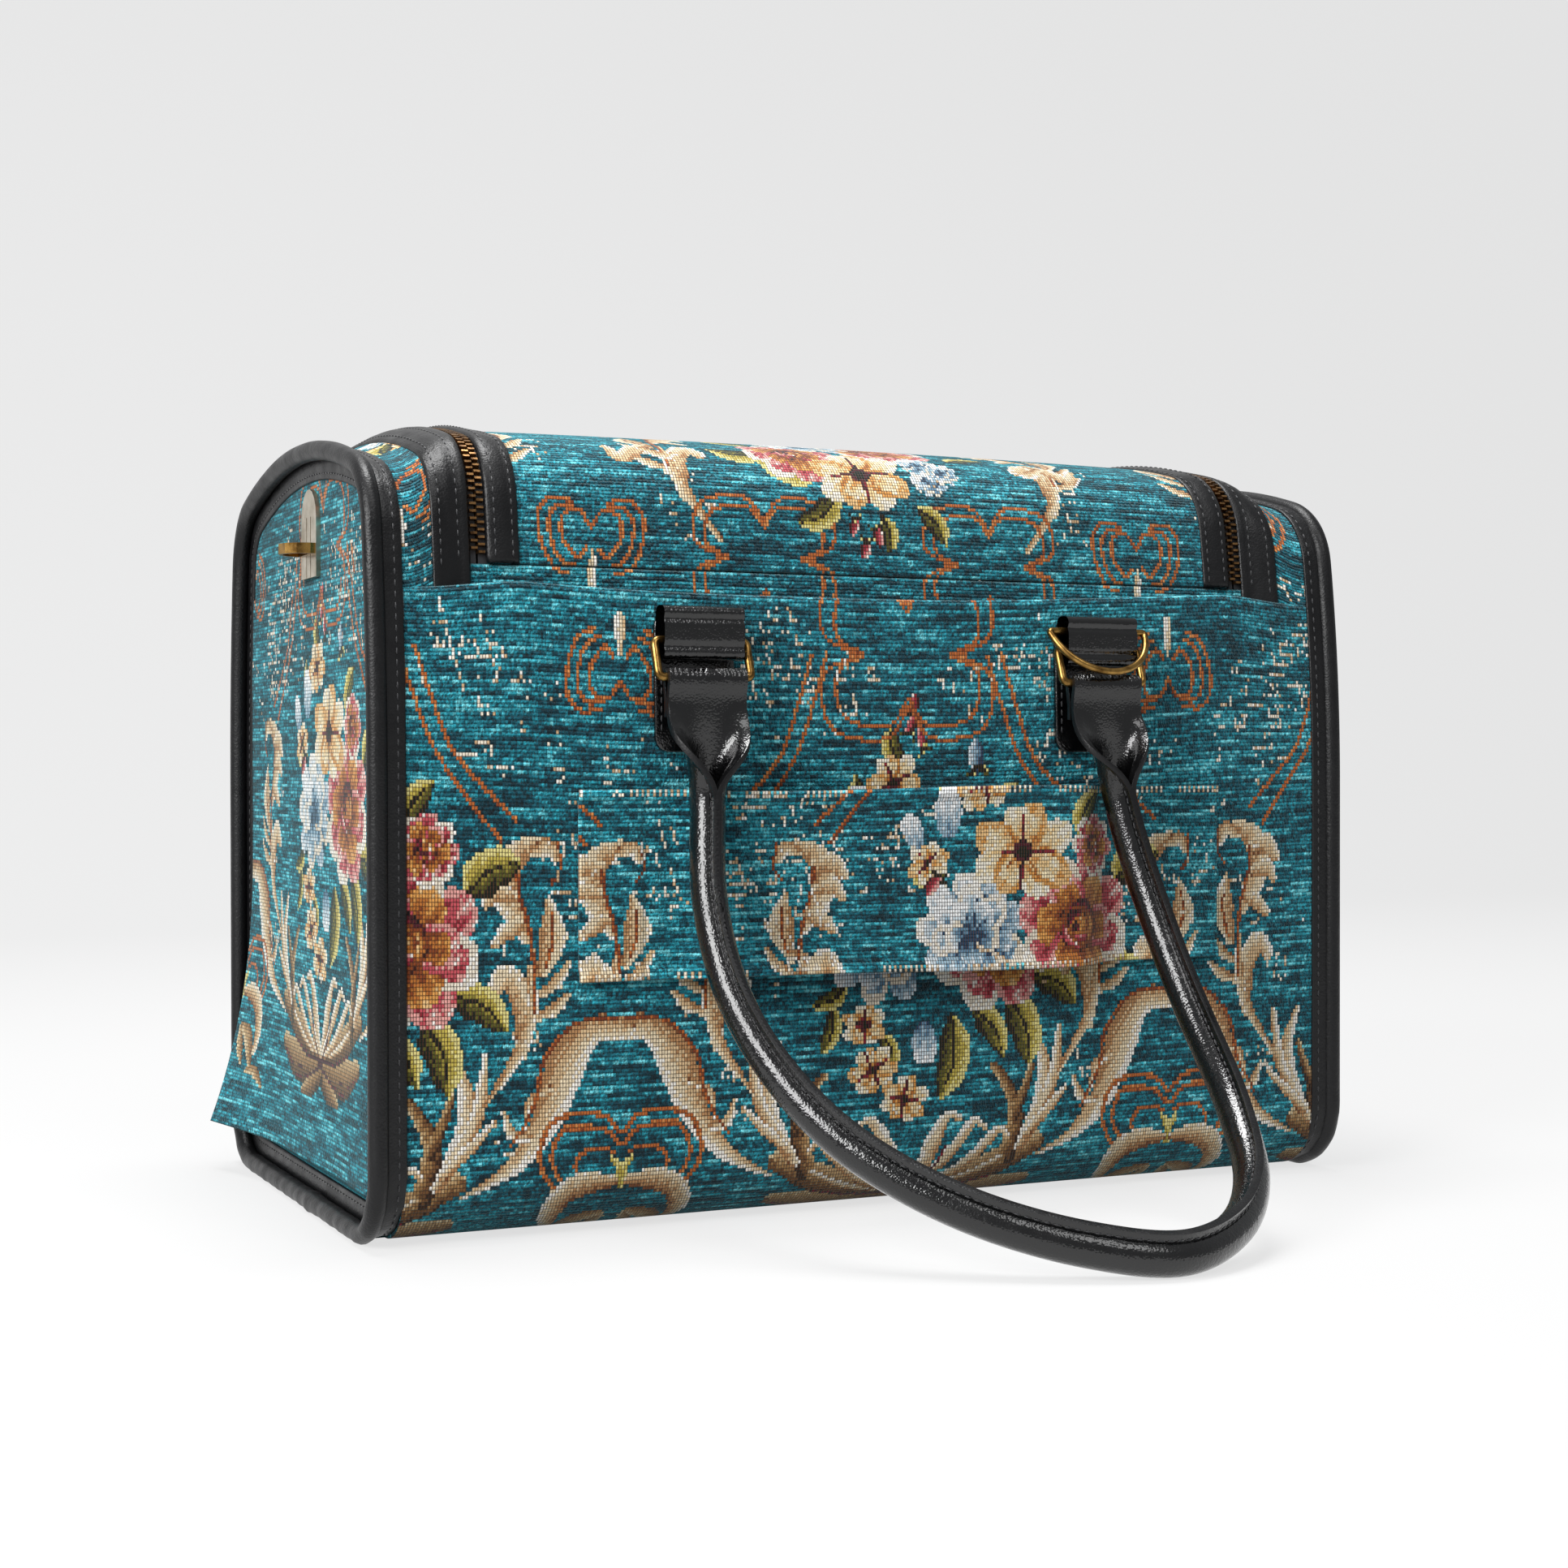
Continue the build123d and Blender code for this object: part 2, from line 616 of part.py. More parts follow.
pieces = {
    "body_shell": body_shell,
    "far_mesh_window": far_mesh,
    "far_window_binding": far_binding,
    "lid_panel": lid_panel,
    "lid_zip_band": lid_zip_band,
    "body_zip_band": body_zip_band,
    "lid_zip_half": lid_zip_half,
    "body_zip_half": body_zip_half,
    "near_pocket": near_pocket,
    "trolley_sleeve": trolley_sleeve,
    "left_piping": left_piping,
    "right_piping": right_piping,
    "left_end_panel": left_end_panel,
    "right_end_panel": right_end_panel,
    "left_end_mesh": left_end_mesh,
    "right_end_mesh": right_end_mesh,
    "left_end_curtain": left_end_curtain,
    "right_end_curtain": right_end_curtain,
    "left_strap_plate": left_strap_plate,
    "right_strap_plate": right_strap_plate,
    "left_strap_loop": left_strap_loop,
    "right_strap_loop": right_strap_loop,
    "base_board": base_board,
    "comfort_pad": comfort_pad,
    "near_left_tab": near_left_tab,
    "near_right_tab": near_right_tab,
    "far_left_tab": far_left_tab,
    "far_right_tab": far_right_tab,
    "near_left_ring": near_left_ring,
    "near_right_ring": near_right_ring,
    "far_left_ring": far_left_ring,
    "far_right_ring": far_right_ring,
    "d_ring": d_ring,
    "near_handle": near_handle,
    "far_handle": far_handle,
    "left_slider": zip_slider(left),
    "right_slider": zip_slider(right),
    "left_pull_tab": pull_tab(left),
    "right_pull_tab": pull_tab(right),
}

os.makedirs("parts", exist_ok=True)
for name, piece in pieces.items():
    export_step(piece, f"parts/{name}.step")
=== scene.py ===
import math

import bmesh
import bpy
import numpy as np
from bpy.props import FloatProperty, FloatVectorProperty, PointerProperty
from mathutils import Matrix, Vector


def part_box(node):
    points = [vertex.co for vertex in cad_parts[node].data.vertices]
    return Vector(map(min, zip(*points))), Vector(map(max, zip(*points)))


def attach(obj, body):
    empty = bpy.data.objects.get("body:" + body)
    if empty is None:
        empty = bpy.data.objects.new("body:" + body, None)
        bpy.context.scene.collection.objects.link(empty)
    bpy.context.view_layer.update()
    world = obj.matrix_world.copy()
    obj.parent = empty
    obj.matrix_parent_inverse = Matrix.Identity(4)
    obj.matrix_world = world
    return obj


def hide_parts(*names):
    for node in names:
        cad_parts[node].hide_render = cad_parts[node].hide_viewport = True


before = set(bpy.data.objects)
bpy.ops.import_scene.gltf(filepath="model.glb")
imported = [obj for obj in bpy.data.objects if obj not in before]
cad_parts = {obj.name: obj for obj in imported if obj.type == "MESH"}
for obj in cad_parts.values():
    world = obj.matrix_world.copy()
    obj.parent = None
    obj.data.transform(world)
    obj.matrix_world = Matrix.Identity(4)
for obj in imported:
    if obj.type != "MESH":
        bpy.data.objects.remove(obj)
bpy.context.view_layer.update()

bl_info = {
    "name": "Tapestry Pet Carrier",
    "version": (1, 0, 0),
    "blender": (4, 5, 0),
    "location": "3D View > Sidebar > Pet Carrier",
    "description": "Dresses a loaf-shaped pet carrier in chenille tapestry, leather and brass",
    "category": "Object",
}

MM = 0.001
NEAR, FAR = -1, 1
LEFT, RIGHT = -1, 1


def millimetres(node):
    """A node's lowest and highest corner in millimetres."""
    low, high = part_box(node)
    return np.array(low) / MM, np.array(high) / MM


# Sizes of the body, all in millimetres. The frame gives the outer ones
RIM_LOW, RIM_HIGH = millimetres("right_piping")
SHELL_LOW, SHELL_HIGH = millimetres("body_shell")
PIPE_RADIUS = 4.3
PIPE_X = RIM_HIGH[0] - PIPE_RADIUS
RIM_X = PIPE_X - PIPE_RADIUS
BASE = SHELL_LOW[2]
MID_CROWN = SHELL_HIGH[2]
END_CROWN = RIM_HIGH[2] - PIPE_RADIUS
HALF_DEPTH = SHELL_HIGH[1]
POCKET_DEPTH = 8.0
SIDE_TOP = 180.0
LEAN_RADIUS = 770.0
POCKET_LEAN_RADIUS = 1830.0
CROWN_RADIUS = 330.0
BASE_CORNER = 28.0
SHOULDER_CORNER = 32.0
SIDE_FLANGE = 7.0
BLEND_X = 184.0
FLANGE_X = RIM_X - SIDE_FLANGE

# Zip round the lid
ZIP_X = 181.0
ZIP_RUN = 278.0
ZIP_CORNER = 30.0
ZIP_EDGE = 4.05
HINGE_HEIGHT = 269.0
LID_BAND = 13.0
BODY_BAND = 16.0
BAND_STEPS = 340

# Cells of the woven picture: one warp step by one rib of weft
CELL_ACROSS = 1.25
RIB = 1.5

# One stitch's height, and how far a window's corners are rounded
STITCH_HIGH = 0.5
WINDOW_CORNER = 24.0


def smooth(share):
    """A share from 0 to 1 that starts and ends gently."""
    share = np.clip(share, 0.0, 1.0)
    return share * share * (3 - 2 * share)


def circles_meet(centre_a, radius_a, centre_b, radius_b):
    """The higher of the two points where circles in the section plane cross."""
    gap = np.subtract(centre_b, centre_a)
    apart = math.hypot(*gap)
    along = (apart**2 + radius_a**2 - radius_b**2) / (2 * apart)
    rise = math.sqrt(radius_a**2 - along**2)
    foot = np.array(centre_a) + gap * along / apart
    sideways = np.array([-gap[1], gap[0]]) / apart * rise
    return max((foot + sideways, foot - sideways), key=lambda point: point[1])


def arc(centre, radius, start, end, count):
    """Points on an arc, without its last one."""
    angles = np.linspace(start, end, count, endpoint=False)
    return np.stack([centre[0] + radius * np.cos(angles), centre[1] + radius * np.sin(angles)], 1)


def side_outline(crown, half, lean_radius, base):
    """The far half of the cross-section, from the base corner up to the middle of the crown."""
    lean_centre = (half - lean_radius, SIDE_TOP)
    crown_centre = (0.0, crown - CROWN_RADIUS)
    fillet = circles_meet(lean_centre, lean_radius - SHOULDER_CORNER,
                          crown_centre, CROWN_RADIUS - SHOULDER_CORNER)
    lean_end = math.atan2(fillet[1] - lean_centre[1], fillet[0] - lean_centre[0])
    crown_start = math.atan2(fillet[1] - crown_centre[1], fillet[0])
    points = [
        arc((half - BASE_CORNER, base + BASE_CORNER), BASE_CORNER, -math.pi / 2, 0, 10),
        np.stack([np.full(30, half), np.linspace(base + BASE_CORNER, SIDE_TOP, 30, endpoint=False)], 1),
        arc(lean_centre, lean_radius, 0, lean_end, 20),
        arc(fillet, SHOULDER_CORNER, lean_end, crown_start, 12),
        arc(crown_centre, CROWN_RADIUS, crown_start, math.pi / 2, 30),
        np.array([[0.0, crown]]),
    ]
    return np.concatenate(points)


def loaf_outline(crown, near_set=0.0, near_lean=LEAN_RADIUS, base=BASE):
    """The cross-section from the near base corner over the crown to the far one, in y and z."""
    far_side = side_outline(crown, HALF_DEPTH, LEAN_RADIUS, base)
    near_side = side_outline(crown, HALF_DEPTH - near_set, near_lean, base) * (-1, 1)
    return np.concatenate([near_side, far_side[::-1][1:]])


class Skin:
    """A surface along the bag that turns from its middle section to its end section."""

    def __init__(self, middle, end, blend_start):
        """Takes both sections and how far out the turn from one to the other starts."""
        steps = np.hypot(*np.diff(middle, axis=0).T)
        self.run = np.concatenate([[0.0], np.cumsum(steps)])
        self.middle, self.end, self.blend_start = middle, end, blend_start

    def reach(self, height, side):
        """The length along the middle section at which it has this height, on one side."""
        top = int(np.argmax(self.middle[:, 1]))
        picked = slice(0, top) if side == NEAR else slice(top, None)
        order = np.argsort(self.middle[picked, 1])
        return float(np.interp(height, self.middle[picked, 1][order], self.run[picked][order]))

    def flat(self, x, s):
        """Points on the surface, for arrays of places along the bag and round the section."""
        weight = smooth((np.abs(x) - self.blend_start) / (FLANGE_X - self.blend_start))
        mixed = [(1 - weight) * np.interp(s, self.run, self.middle[:, axis])
                 + weight * np.interp(s, self.run, self.end[:, axis]) for axis in (0, 1)]
        return np.stack([x, *mixed], 1)

    def outward(self, x, s):
        """The directions square to the surface at such places."""
        step = self.flat(x, s + 1.5) - self.flat(x, s - 1.5)
        normal = np.stack([np.zeros_like(x), -step[:, 2], step[:, 1]], 1)
        return normal / np.linalg.norm(normal, axis=1)[:, None]

    def at(self, x, s, lift=0.0):
        """Points on the surface, lifted off it, for places along the bag and round the section."""
        x, s = np.broadcast_arrays(np.asarray(x, float), np.asarray(s, float))
        x, s = x.ravel(), s.ravel()
        return self.flat(x, s) + self.outward(x, s) * np.broadcast_to(lift, x.shape)[:, None]


BODY = Skin(loaf_outline(MID_CROWN, POCKET_DEPTH), loaf_outline(END_CROWN), BLEND_X)
POCKET = Skin(loaf_outline(MID_CROWN, 0.0, POCKET_LEAN_RADIUS), loaf_outline(END_CROWN), ZIP_X - 20)
HINGE_S = BODY.reach(HINGE_HEIGHT, NEAR)
RUN_S = BODY.reach(ZIP_RUN, FAR)


def value_noise(u, v, seed):
    """Smooth noise from 0 to 1 on a unit lattice, the same at each run."""
    cell_u, cell_v = np.floor(u).astype(np.int64), np.floor(v).astype(np.int64)
    share_u, share_v = smooth(u - cell_u), smooth(v - cell_v)
    total = 0.0
    for step_u in (0, 1):
        for step_v in (0, 1):
            weight = np.abs(1 - step_u - share_u) * np.abs(1 - step_v - share_v)
            total = total + weight * scatter(cell_u + step_u, cell_v + step_v, seed)
    return total


def scatter(i, j, seed=0):
    """A random-looking share from 0 to 1 for a pair of whole numbers."""
    mixed = (i * 374761393 + j * 668265263 + seed * 1442695041) & 0xFFFFFFFF
    mixed = ((mixed ^ (mixed >> 13)) * 1274126177) & 0xFFFFFFFF
    return ((mixed ^ (mixed >> 16)) & 0xFFFF) / 65535.0


def linear(code):
    """A colour written as an sRGB hex code, in linear light."""
    parts = [int(code[i:i + 2], 16) / 255 for i in (1, 3, 5)]
    return tuple(part / 12.92 if part <= 0.04045 else ((part + 0.055) / 1.055) ** 2.4 for part in parts)


def ramp(*codes):
    """The yarns of one motif as rows of linear colour, darkest first."""
    return np.array([linear(code) for code in codes])


def length(name, description, millimetres_long):
    """A size property whose default is given in millimetres."""
    return FloatProperty(name=name, description=description, default=millimetres_long * MM, min=0.0,
                         precision=5, unit="LENGTH", subtype="DISTANCE")


def colour(name, description, code):
    """A colour property whose default is written as an sRGB hex code."""
    return FloatVectorProperty(name=name, description=description, default=linear(code), size=3,
                               min=0.0, max=1.0, subtype="COLOR")


class CarrierSizes(bpy.types.PropertyGroup):
    """Sizes of the cloth, the leather and the sewing"""
    cloth_gauge: length("Cloth thickness", "Tapestry with its lining", 2.4)
    lid_padding: length("Lid padding", "How far the lid's middle stands up", 2.0)
    hem_slack: length("Hem slack", "How far the pocket's cloth ripples", 1.1)
    curtain_kick: length("Curtain kick", "How far a curtain's far corner stands out", 17.0)
    leather_gauge: length("Leather thickness", "The handle's strap", 2.3)
    ring_wire: length("Ring wire", "Diameter of the handle rings' wire", 3.6)
    d_ring_wire: length("D-ring wire", "Diameter of the D-ring's wire", 3.2)
    tooth_pitch: length("Tooth pitch", "From one zip tooth to the next on the same side", 3.0)
    stitch_long: length("Stitch length", "One stitch of the trim", 3.0)
    stitch_wide: length("Stitch width", "The sewing thread", 0.75)
    band_stitch: length("Band stitch pitch", "Along the zip's leather bands", 4.2)
    welt_stitch: length("Welt stitch pitch", "Along the piping's flanges", 4.4)
    handle_stitch: length("Handle stitch pitch", "Beside the handle's fin", 3.8)
    tab_stitch: length("Tab stitch pitch", "Down the sides of a tab", 3.6)


class CarrierColours(bpy.types.PropertyGroup):
    """Colours of the yarns, leathers and metals"""
    ground_gap: colour("Ground gap", "Between the tufts of the ground", "#04202a")
    ground_dark: colour("Ground dark", "Dark slubs of the ground", "#093a47")
    ground_middle: colour("Ground", "Chenille of the ground", "#126373")
    ground_light: colour("Ground light", "Light slubs of the ground", "#2492a3")
    ground_tip: colour("Ground tips", "Tips of the tufts", "#6fcdd8")
    warp: colour("Warp", "Binding yarn that crosses the motifs", "#5d3320")
    trim: colour("Trim leather", "Piping and zip bands", "#0b0b0d")
    handle: colour("Handle leather", "Handles and tabs", "#060607")
    brass: colour("Brass", "Bare brass of the rings", "#b08a4c")
    brass_patina: colour("Brass patina", "Dark patches on the brass", "#5c4220")
    champagne: colour("Plate", "Pale brass of the strap plates", "#d8cfbd")
    bronze: colour("Zip metal", "Bare metal of the zip", "#a57d50")
    bronze_patina: colour("Zip patina", "Dark patches on the zip", "#4a3320")
    thread: colour("Thread", "Sewing thread", "#0b0b0d")
    lining: colour("Lining", "Nylon inside the bag", "#16232b")
    pad: colour("Pad", "Cover of the comfort pad", "#8d8f8c")
    board: colour("Board", "Fibre board under the pad", "#2b2620")
    netting: colour("Netting", "Ventilation netting", "#131417")
    paper: colour("Floor", "Paper of the studio cove", "#8e8e8e")


def size_of(name):
    """A size from the panel, in millimetres."""
    return getattr(bpy.context.scene.carrier_sizes, name) / MM


def tint(name):
    """A colour from the panel, as a shader socket takes it."""
    return (*getattr(bpy.context.scene.carrier_colours, name), 1.0)


# Yarns of the tapestry, from the dark to the light of each motif
CREAM = ramp("#7a4a2a", "#b98a5c", "#e0bf92", "#f2dfbc", "#fffaf0")
TAN = ramp("#34200f", "#74502e", "#a07a4c", "#c4a273", "#e2cda4")
RUST = ramp("#7d3a1c", "#b9652f", "#d98d4e")
AMBER = ramp("#3a150c", "#84401c", "#b56d2e", "#dd9c50", "#f0c487")
ROSE = ramp("#3b0c10", "#8c2430", "#c4505a", "#e8a49c", "#fdf3ea")
PEACH = ramp("#8a4722", "#dc9c58", "#f0cc92", "#f9e6bd", "#fff8e6")
BLUE = ramp("#24405a", "#5f86a0", "#9dbccd", "#d6e3ea", "#fdffff")
OLIVE = ramp("#15180a", "#55541d", "#8f8434", "#c3b04f", "#e8dc8e")
MAROON = ramp("#14070a", "#4a1420", "#84202e")
WHITE = ramp("#c9a982", "#efe4d0", "#fffcf4")


def curve_through(points, count=22):
    """A smooth line through a few points, as many points, with the share of its length at each."""
    points = np.asarray(points, float)
    if len(points) == 2:
        points = np.array([points[0], points.mean(0), points[1]])
    padded = np.concatenate([[2 * points[0] - points[1]], points, [2 * points[-1] - points[-2]]])
    spans = len(points) - 1
    at = np.linspace(0, spans, count)
    span = np.minimum(at.astype(int), spans - 1)
    t = (at - span)[:, None]
    a, b, c, d = (padded[span + k] for k in range(4))
    line = 0.5 * (2 * b + (c - a) * t + (2 * a - 5 * b + 4 * c - d) * t**2
                  + (3 * b - a - 3 * c + d) * t**3)
    steps = np.concatenate([[0.0], np.cumsum(np.linalg.norm(np.diff(line, axis=0), axis=1))])
    return line, steps / steps[-1]


class Tapestry:
    """The woven picture on one piece of cloth, one colour for each cell of its weave."""

    def __init__(self, u, v, seed):
        """Weaves the plain ground for cells at these places, in slubs and light and dark patches."""
        self.u, self.v = u, v
        self.cell = np.floor(u / CELL_ACROSS).astype(int), np.floor(v / RIB).astype(int)
        self.dither = ((self.cell[0] * 2 + self.cell[1] * 3) % 5) / 5 - 0.4
        row = self.cell[1] + 0.0
        streak = 0.6 * value_noise(u / 14, row, seed) + 0.4 * value_noise(u / 3.1, row + 71, seed)
        patch = value_noise(u / 55, v / 40, seed + 5)
        ground = np.array([tint(name)[:3] for name in (
            "ground_gap", "ground_dark", "ground_middle", "ground_light", "ground_tip")])
        speck = scatter(*self.cell, seed + 9)
        level = np.clip(2.05 + 4.6 * (streak - 0.5) + 0.9 * (patch - 0.5) + 1.5 * (speck - 0.5), 0, 3.999)
        low = level.astype(int)
        part = (level - low)[:, None]
        self.colour = ground[low] * (1 - part) + ground[np.minimum(low + 1, 4)] * part
        self.woven = np.zeros(len(u))

    def inside(self, low, high):
        """The cells in a window."""
        return np.nonzero((self.u > low[0]) & (self.u < high[0])
                          & (self.v > low[1]) & (self.v < high[1]))[0]

    def lay(self, cells, covered, yarns, shade):
        """Colours the covered cells, with the steps between yarns broken up as a weaver does."""
        picked = cells[covered]
        level = shade[covered] * (len(yarns) - 1) + self.dither[picked] * 0.9 + 0.5
        self.colour[picked] = yarns[np.clip(level.astype(int), 0, len(yarns) - 1)]
        self.woven[picked] = 1.0

    def stroke(self, points, widths, yarns, light, contrast, lit_side=1):
        """A brush stroke of changing width along a smooth line, lit from one side."""
        line, share = curve_through(points)
        widths = np.interp(share, np.linspace(0, 1, len(widths)), widths)
        reach = widths.max() + 1
        cells = self.inside(line.min(0) - reach, line.max(0) + reach)
        if not len(cells):
            return
        spot = np.stack([self.u[cells], self.v[cells]], 1)[:, None, :]
        start, step = line[:-1][None], np.diff(line, axis=0)[None]
        along = np.clip(((spot - start) * step).sum(2) / (step**2).sum(2), 0, 1)
        off = spot - start - along[..., None] * step
        width = widths[:-1][None] * (1 - along) + widths[1:][None] * along
        ratio = np.hypot(off[..., 0], off[..., 1]) / np.maximum(width, 0.05)
        best = ratio.argmin(1)
        rows = np.arange(len(cells))
        near = ratio[rows, best]
        side = np.sign(step[0, best, 0] * off[rows, best, 1] - step[0, best, 1] * off[rows, best, 0])
        tip = (share[best] - 0.4) * 0.25
        self.lay(cells, near < 1, yarns, light + contrast * side * near * lit_side + tip)

    def petal(self, x, y, length, width, angle, yarns, light, contrast=0.8, rim=None):
        """An oval petal, darkest where it joins the flower, with a rim of other yarns if given."""
        reach = length + 1
        cells = self.inside((x - reach, y - reach), (x + reach, y + reach))
        if not len(cells):
            return
        du, dv = self.u[cells] - x, self.v[cells] - y
        along = (du * math.cos(angle) + dv * math.sin(angle)) / length
        off = (-du * math.sin(angle) + dv * math.cos(angle)) / width
        swell = np.sqrt(np.clip(1 - (2 * along - 1.15) ** 2 / 1.33, 0, 1))
        vein = 0.12 * np.sin(off * 9 + angle * 3)
        covered = (along > 0) & (np.abs(off) < swell)
        self.lay(cells, covered, yarns, light + contrast * (along - 0.55) + vein)
        if rim is not None:
            edge = covered & (along > 0.3) & ((np.abs(off) > swell - 0.36) | (along > 0.84))
            self.lay(cells, edge, rim, light + 0.35 * along + vein)

    def disc(self, x, y, radius, yarns, light):
        """A round spot, lightest in its middle."""
        cells = self.inside((x - radius, y - radius), (x + radius, y + radius))
        off = np.hypot(self.u[cells] - x, self.v[cells] - y) / radius
        self.lay(cells, off < 1, yarns, light + 0.5 * (0.5 - off))

    def hem(self, low, high):
        """Turned edges at two heights: the ground along each fold is brightened as a painted highlight, with
        light floats that cross the fold.
        """
        for edge in (low, high):
            cells = self.inside((-400, edge - 2.2), (400, edge + 2.2))
            # Painted highlight: the ground along each fold is brightened
            self.colour[cells] *= 1.35
            crossing = value_noise(self.u[cells] / 9, self.u[cells] * 0 + edge, 8) > 0.42
            self.lay(cells, crossing & (self.cell[0][cells] % 2 == 0)
                     & (np.abs(self.v[cells] - edge) < 1.5), WHITE, 0.3 + 0 * self.u[cells])

    def leaf(self, x, y, length, angle, width=None):
        """A pointed olive leaf with a slight bend, dark on one half, with a darker midrib."""
        width = width or length * 0.3
        tip = np.array([x + length * math.cos(angle), y + length * math.sin(angle)])
        mid = np.array([x, y]) * 0.5 + tip * 0.5 + 0.25 * length * 0.5 * np.array(
            [-math.sin(angle), math.cos(angle)])
        self.stroke([(x, y), mid, tip], (0.8, width, width * 0.9, 0.5), OLIVE, 0.5, 0.6)
        self.stroke([(x, y), mid, tip * 0.85 + mid * 0.15], (0.7, 0.7, 0.4), OLIVE, 0.0, 0.0)

    def rose(self, x, y, radius, turn=0.0):
        """A full rose: white-edged outer petals round a brown heart of curled folds."""
        for k in range(8):
            angle = turn + 2 * math.pi * k / 8
            foot = radius * 0.34
            self.petal(x + foot * math.cos(angle), y + foot * math.sin(angle), radius * 0.72,
                       radius * 0.38, angle, ROSE, 0.4, 0.7, WHITE if k % 3 else ROSE)
        for k in range(6):
            angle = turn + 0.5 + 2 * math.pi * k / 6
            self.petal(x + radius * 0.1 * math.cos(angle), y + radius * 0.1 * math.sin(angle),
                       radius * 0.66, radius * 0.33, angle, AMBER, 0.42, 0.8, ROSE if k % 2 else None)
        self.disc(x, y, radius * 0.36, AMBER, 0.4)
        for k in range(7):
            angle, away = turn + 0.9 + 2.4 * k, radius * (0.36 - 0.045 * k)
            fold = [(x + away * math.cos(angle + bend), y + away * math.sin(angle + bend))
                    for bend in (-0.8, 0.0, 0.8)]
            self.stroke(fold, (0.5, radius * 0.075, 0.5), (MAROON, ROSE, AMBER)[k % 3], 0.5, 0.4)

    def poppy(self, x, y, radius, turn=0.3):
        """An open flower of cream petals with amber rims, maroon streaks and a dark eye."""
        for k in range(8):
            angle = turn + 2 * math.pi * k / 8 + 0.15 * math.sin(k * 2.3)
            self.petal(x, y, radius * (0.92 + 0.14 * math.cos(k * 1.7 + turn)), radius * 0.36, angle,
                       PEACH, 0.6, 0.7, AMBER if k % 2 else PEACH)
        for k in range(8):
            angle = turn + 2 * math.pi * (k + 0.5) / 8
            reach = radius * (0.72 if k % 2 else 0.5)
            self.stroke([(x, y), (x + reach * math.cos(angle), y + reach * math.sin(angle))],
                        (1.1, 0.5), MAROON if k % 2 else AMBER, 0.6, 0.3)
        self.disc(x, y, radius * 0.22, MAROON, 0.5)
        self.disc(x, y, radius * 0.12, OLIVE, -0.2)

    def peony(self, x, y, radius, turn=1.0):
        """A full pale-blue bloom: ruffled petals with slate shadows between them."""
        for ring, (count, start, length) in enumerate(((9, 0.36, 0.66), (7, 0.2, 0.56), (5, 0.0, 0.5))):
            for k in range(count):
                angle = turn + ring * 0.6 + 2 * math.pi * k / count
                foot_x = x + radius * start * math.cos(angle)
                foot_y = y + radius * start * 0.86 * math.sin(angle)
                self.petal(foot_x, foot_y, radius * length, radius * 0.27, angle, BLUE,
                           0.42 + 0.25 * math.cos(angle - 2.2), 1.1, WHITE if (k + ring) % 2 else None)
                for lean in (0.45, -0.3):
                    self.stroke([(foot_x, foot_y), (foot_x + radius * 0.36 * math.cos(angle + lean),
                                                    foot_y + radius * 0.36 * math.sin(angle + lean))],
                                (1.0, 0.5), BLUE, 0.1, 0.3)

    def bud(self, x, y, size, angle, yarns=ROSE):
        """A closed flower on two small leaves."""
        tip = (x + size * math.cos(angle), y + size * math.sin(angle))
        self.stroke([(x, y), tip], (size * 0.3, size * 0.36, 0.6), yarns, 0.4, 0.5)
        self.leaf(x, y, size * 0.6, angle + 2.2, size * 0.14)
        self.leaf(x, y, size * 0.6, angle - 2.2, size * 0.14)

    def draw(self, axis, rise, yarns, light, contrast, *strokes):
        """Brush strokes on both sides of an axis: points outward and up, then half widths."""
        for side in (1, -1):
            for points, widths in strokes:
                self.stroke([(axis + side * x, rise + y) for x, y in points], widths, yarns, light,
                            contrast, side)

    def arch(self, x, y):
        """Two broad legs that meet in a flat crown and run out in thin feet, over a rust frame."""
        self.draw(x, y, CREAM, 0.62, -0.45,
                  ([(-2, 99), (14, 98), (24, 85), (29, 72), (37, 59), (49, 48), (68, 39)],
                   (4.5, 5.5, 8.5, 6.5, 4.6, 2.2, 0.7)),
                  ([(30, 78), (38, 74), (41, 64)], (1.0, 2.0, 0.8)),
                  ([(38, 60), (46, 62), (50, 70)], (1.0, 2.4, 0.8)))
        self.draw(x, y, RUST, 0.2, 0.0,
                  ([(2, 103), (20, 101), (33, 88), (37, 72), (47, 57)], (0.5, 0.9, 0.5)))
        for inner in (0, 5):
            self.draw(x, y, RUST, 0.55, 0.2,
                      ([(1, 61 - inner), (8, 67 - inner), (21, 68 - inner), (31 - inner, 64 - inner / 2),
                        (35 - inner, 52), (30 - inner, 42), (25, 39)], (1.0, 1.0)))
        self.draw(x, y, RUST, 0.5, 0.2,
                  ([(3, 53), (8, 55), (16, 54), (20, 49), (17, 44), (12, 46)], (0.9, 0.9)))
        self.draw(x, y, OLIVE, 0.85, 0.2, ([(0, 40), (0, 46), (4, 51)], (1.6, 2.2, 1.0)))
        self.draw(x, y, CREAM, 0.5, 0.45,
                  ([(3, 42), (14, 42), (24, 38), (28, 29), (27, 20), (23, 13)],
                   (2.2, 4.6, 5.4, 5.0, 3.4, 1.2)))
        self.draw(x, y, TAN, 0.65, 0.4,
                  ([(22, 11), (16, 22), (6, 26)], (2.5, 5.0, 2.2)),
                  ([(12, 10), (8, 16), (5, 24)], (1.5, 3.6, 2.0)),
                  ([(40, 1), (30, 7), (20, 6)], (1.0, 3.4, 1.6)))

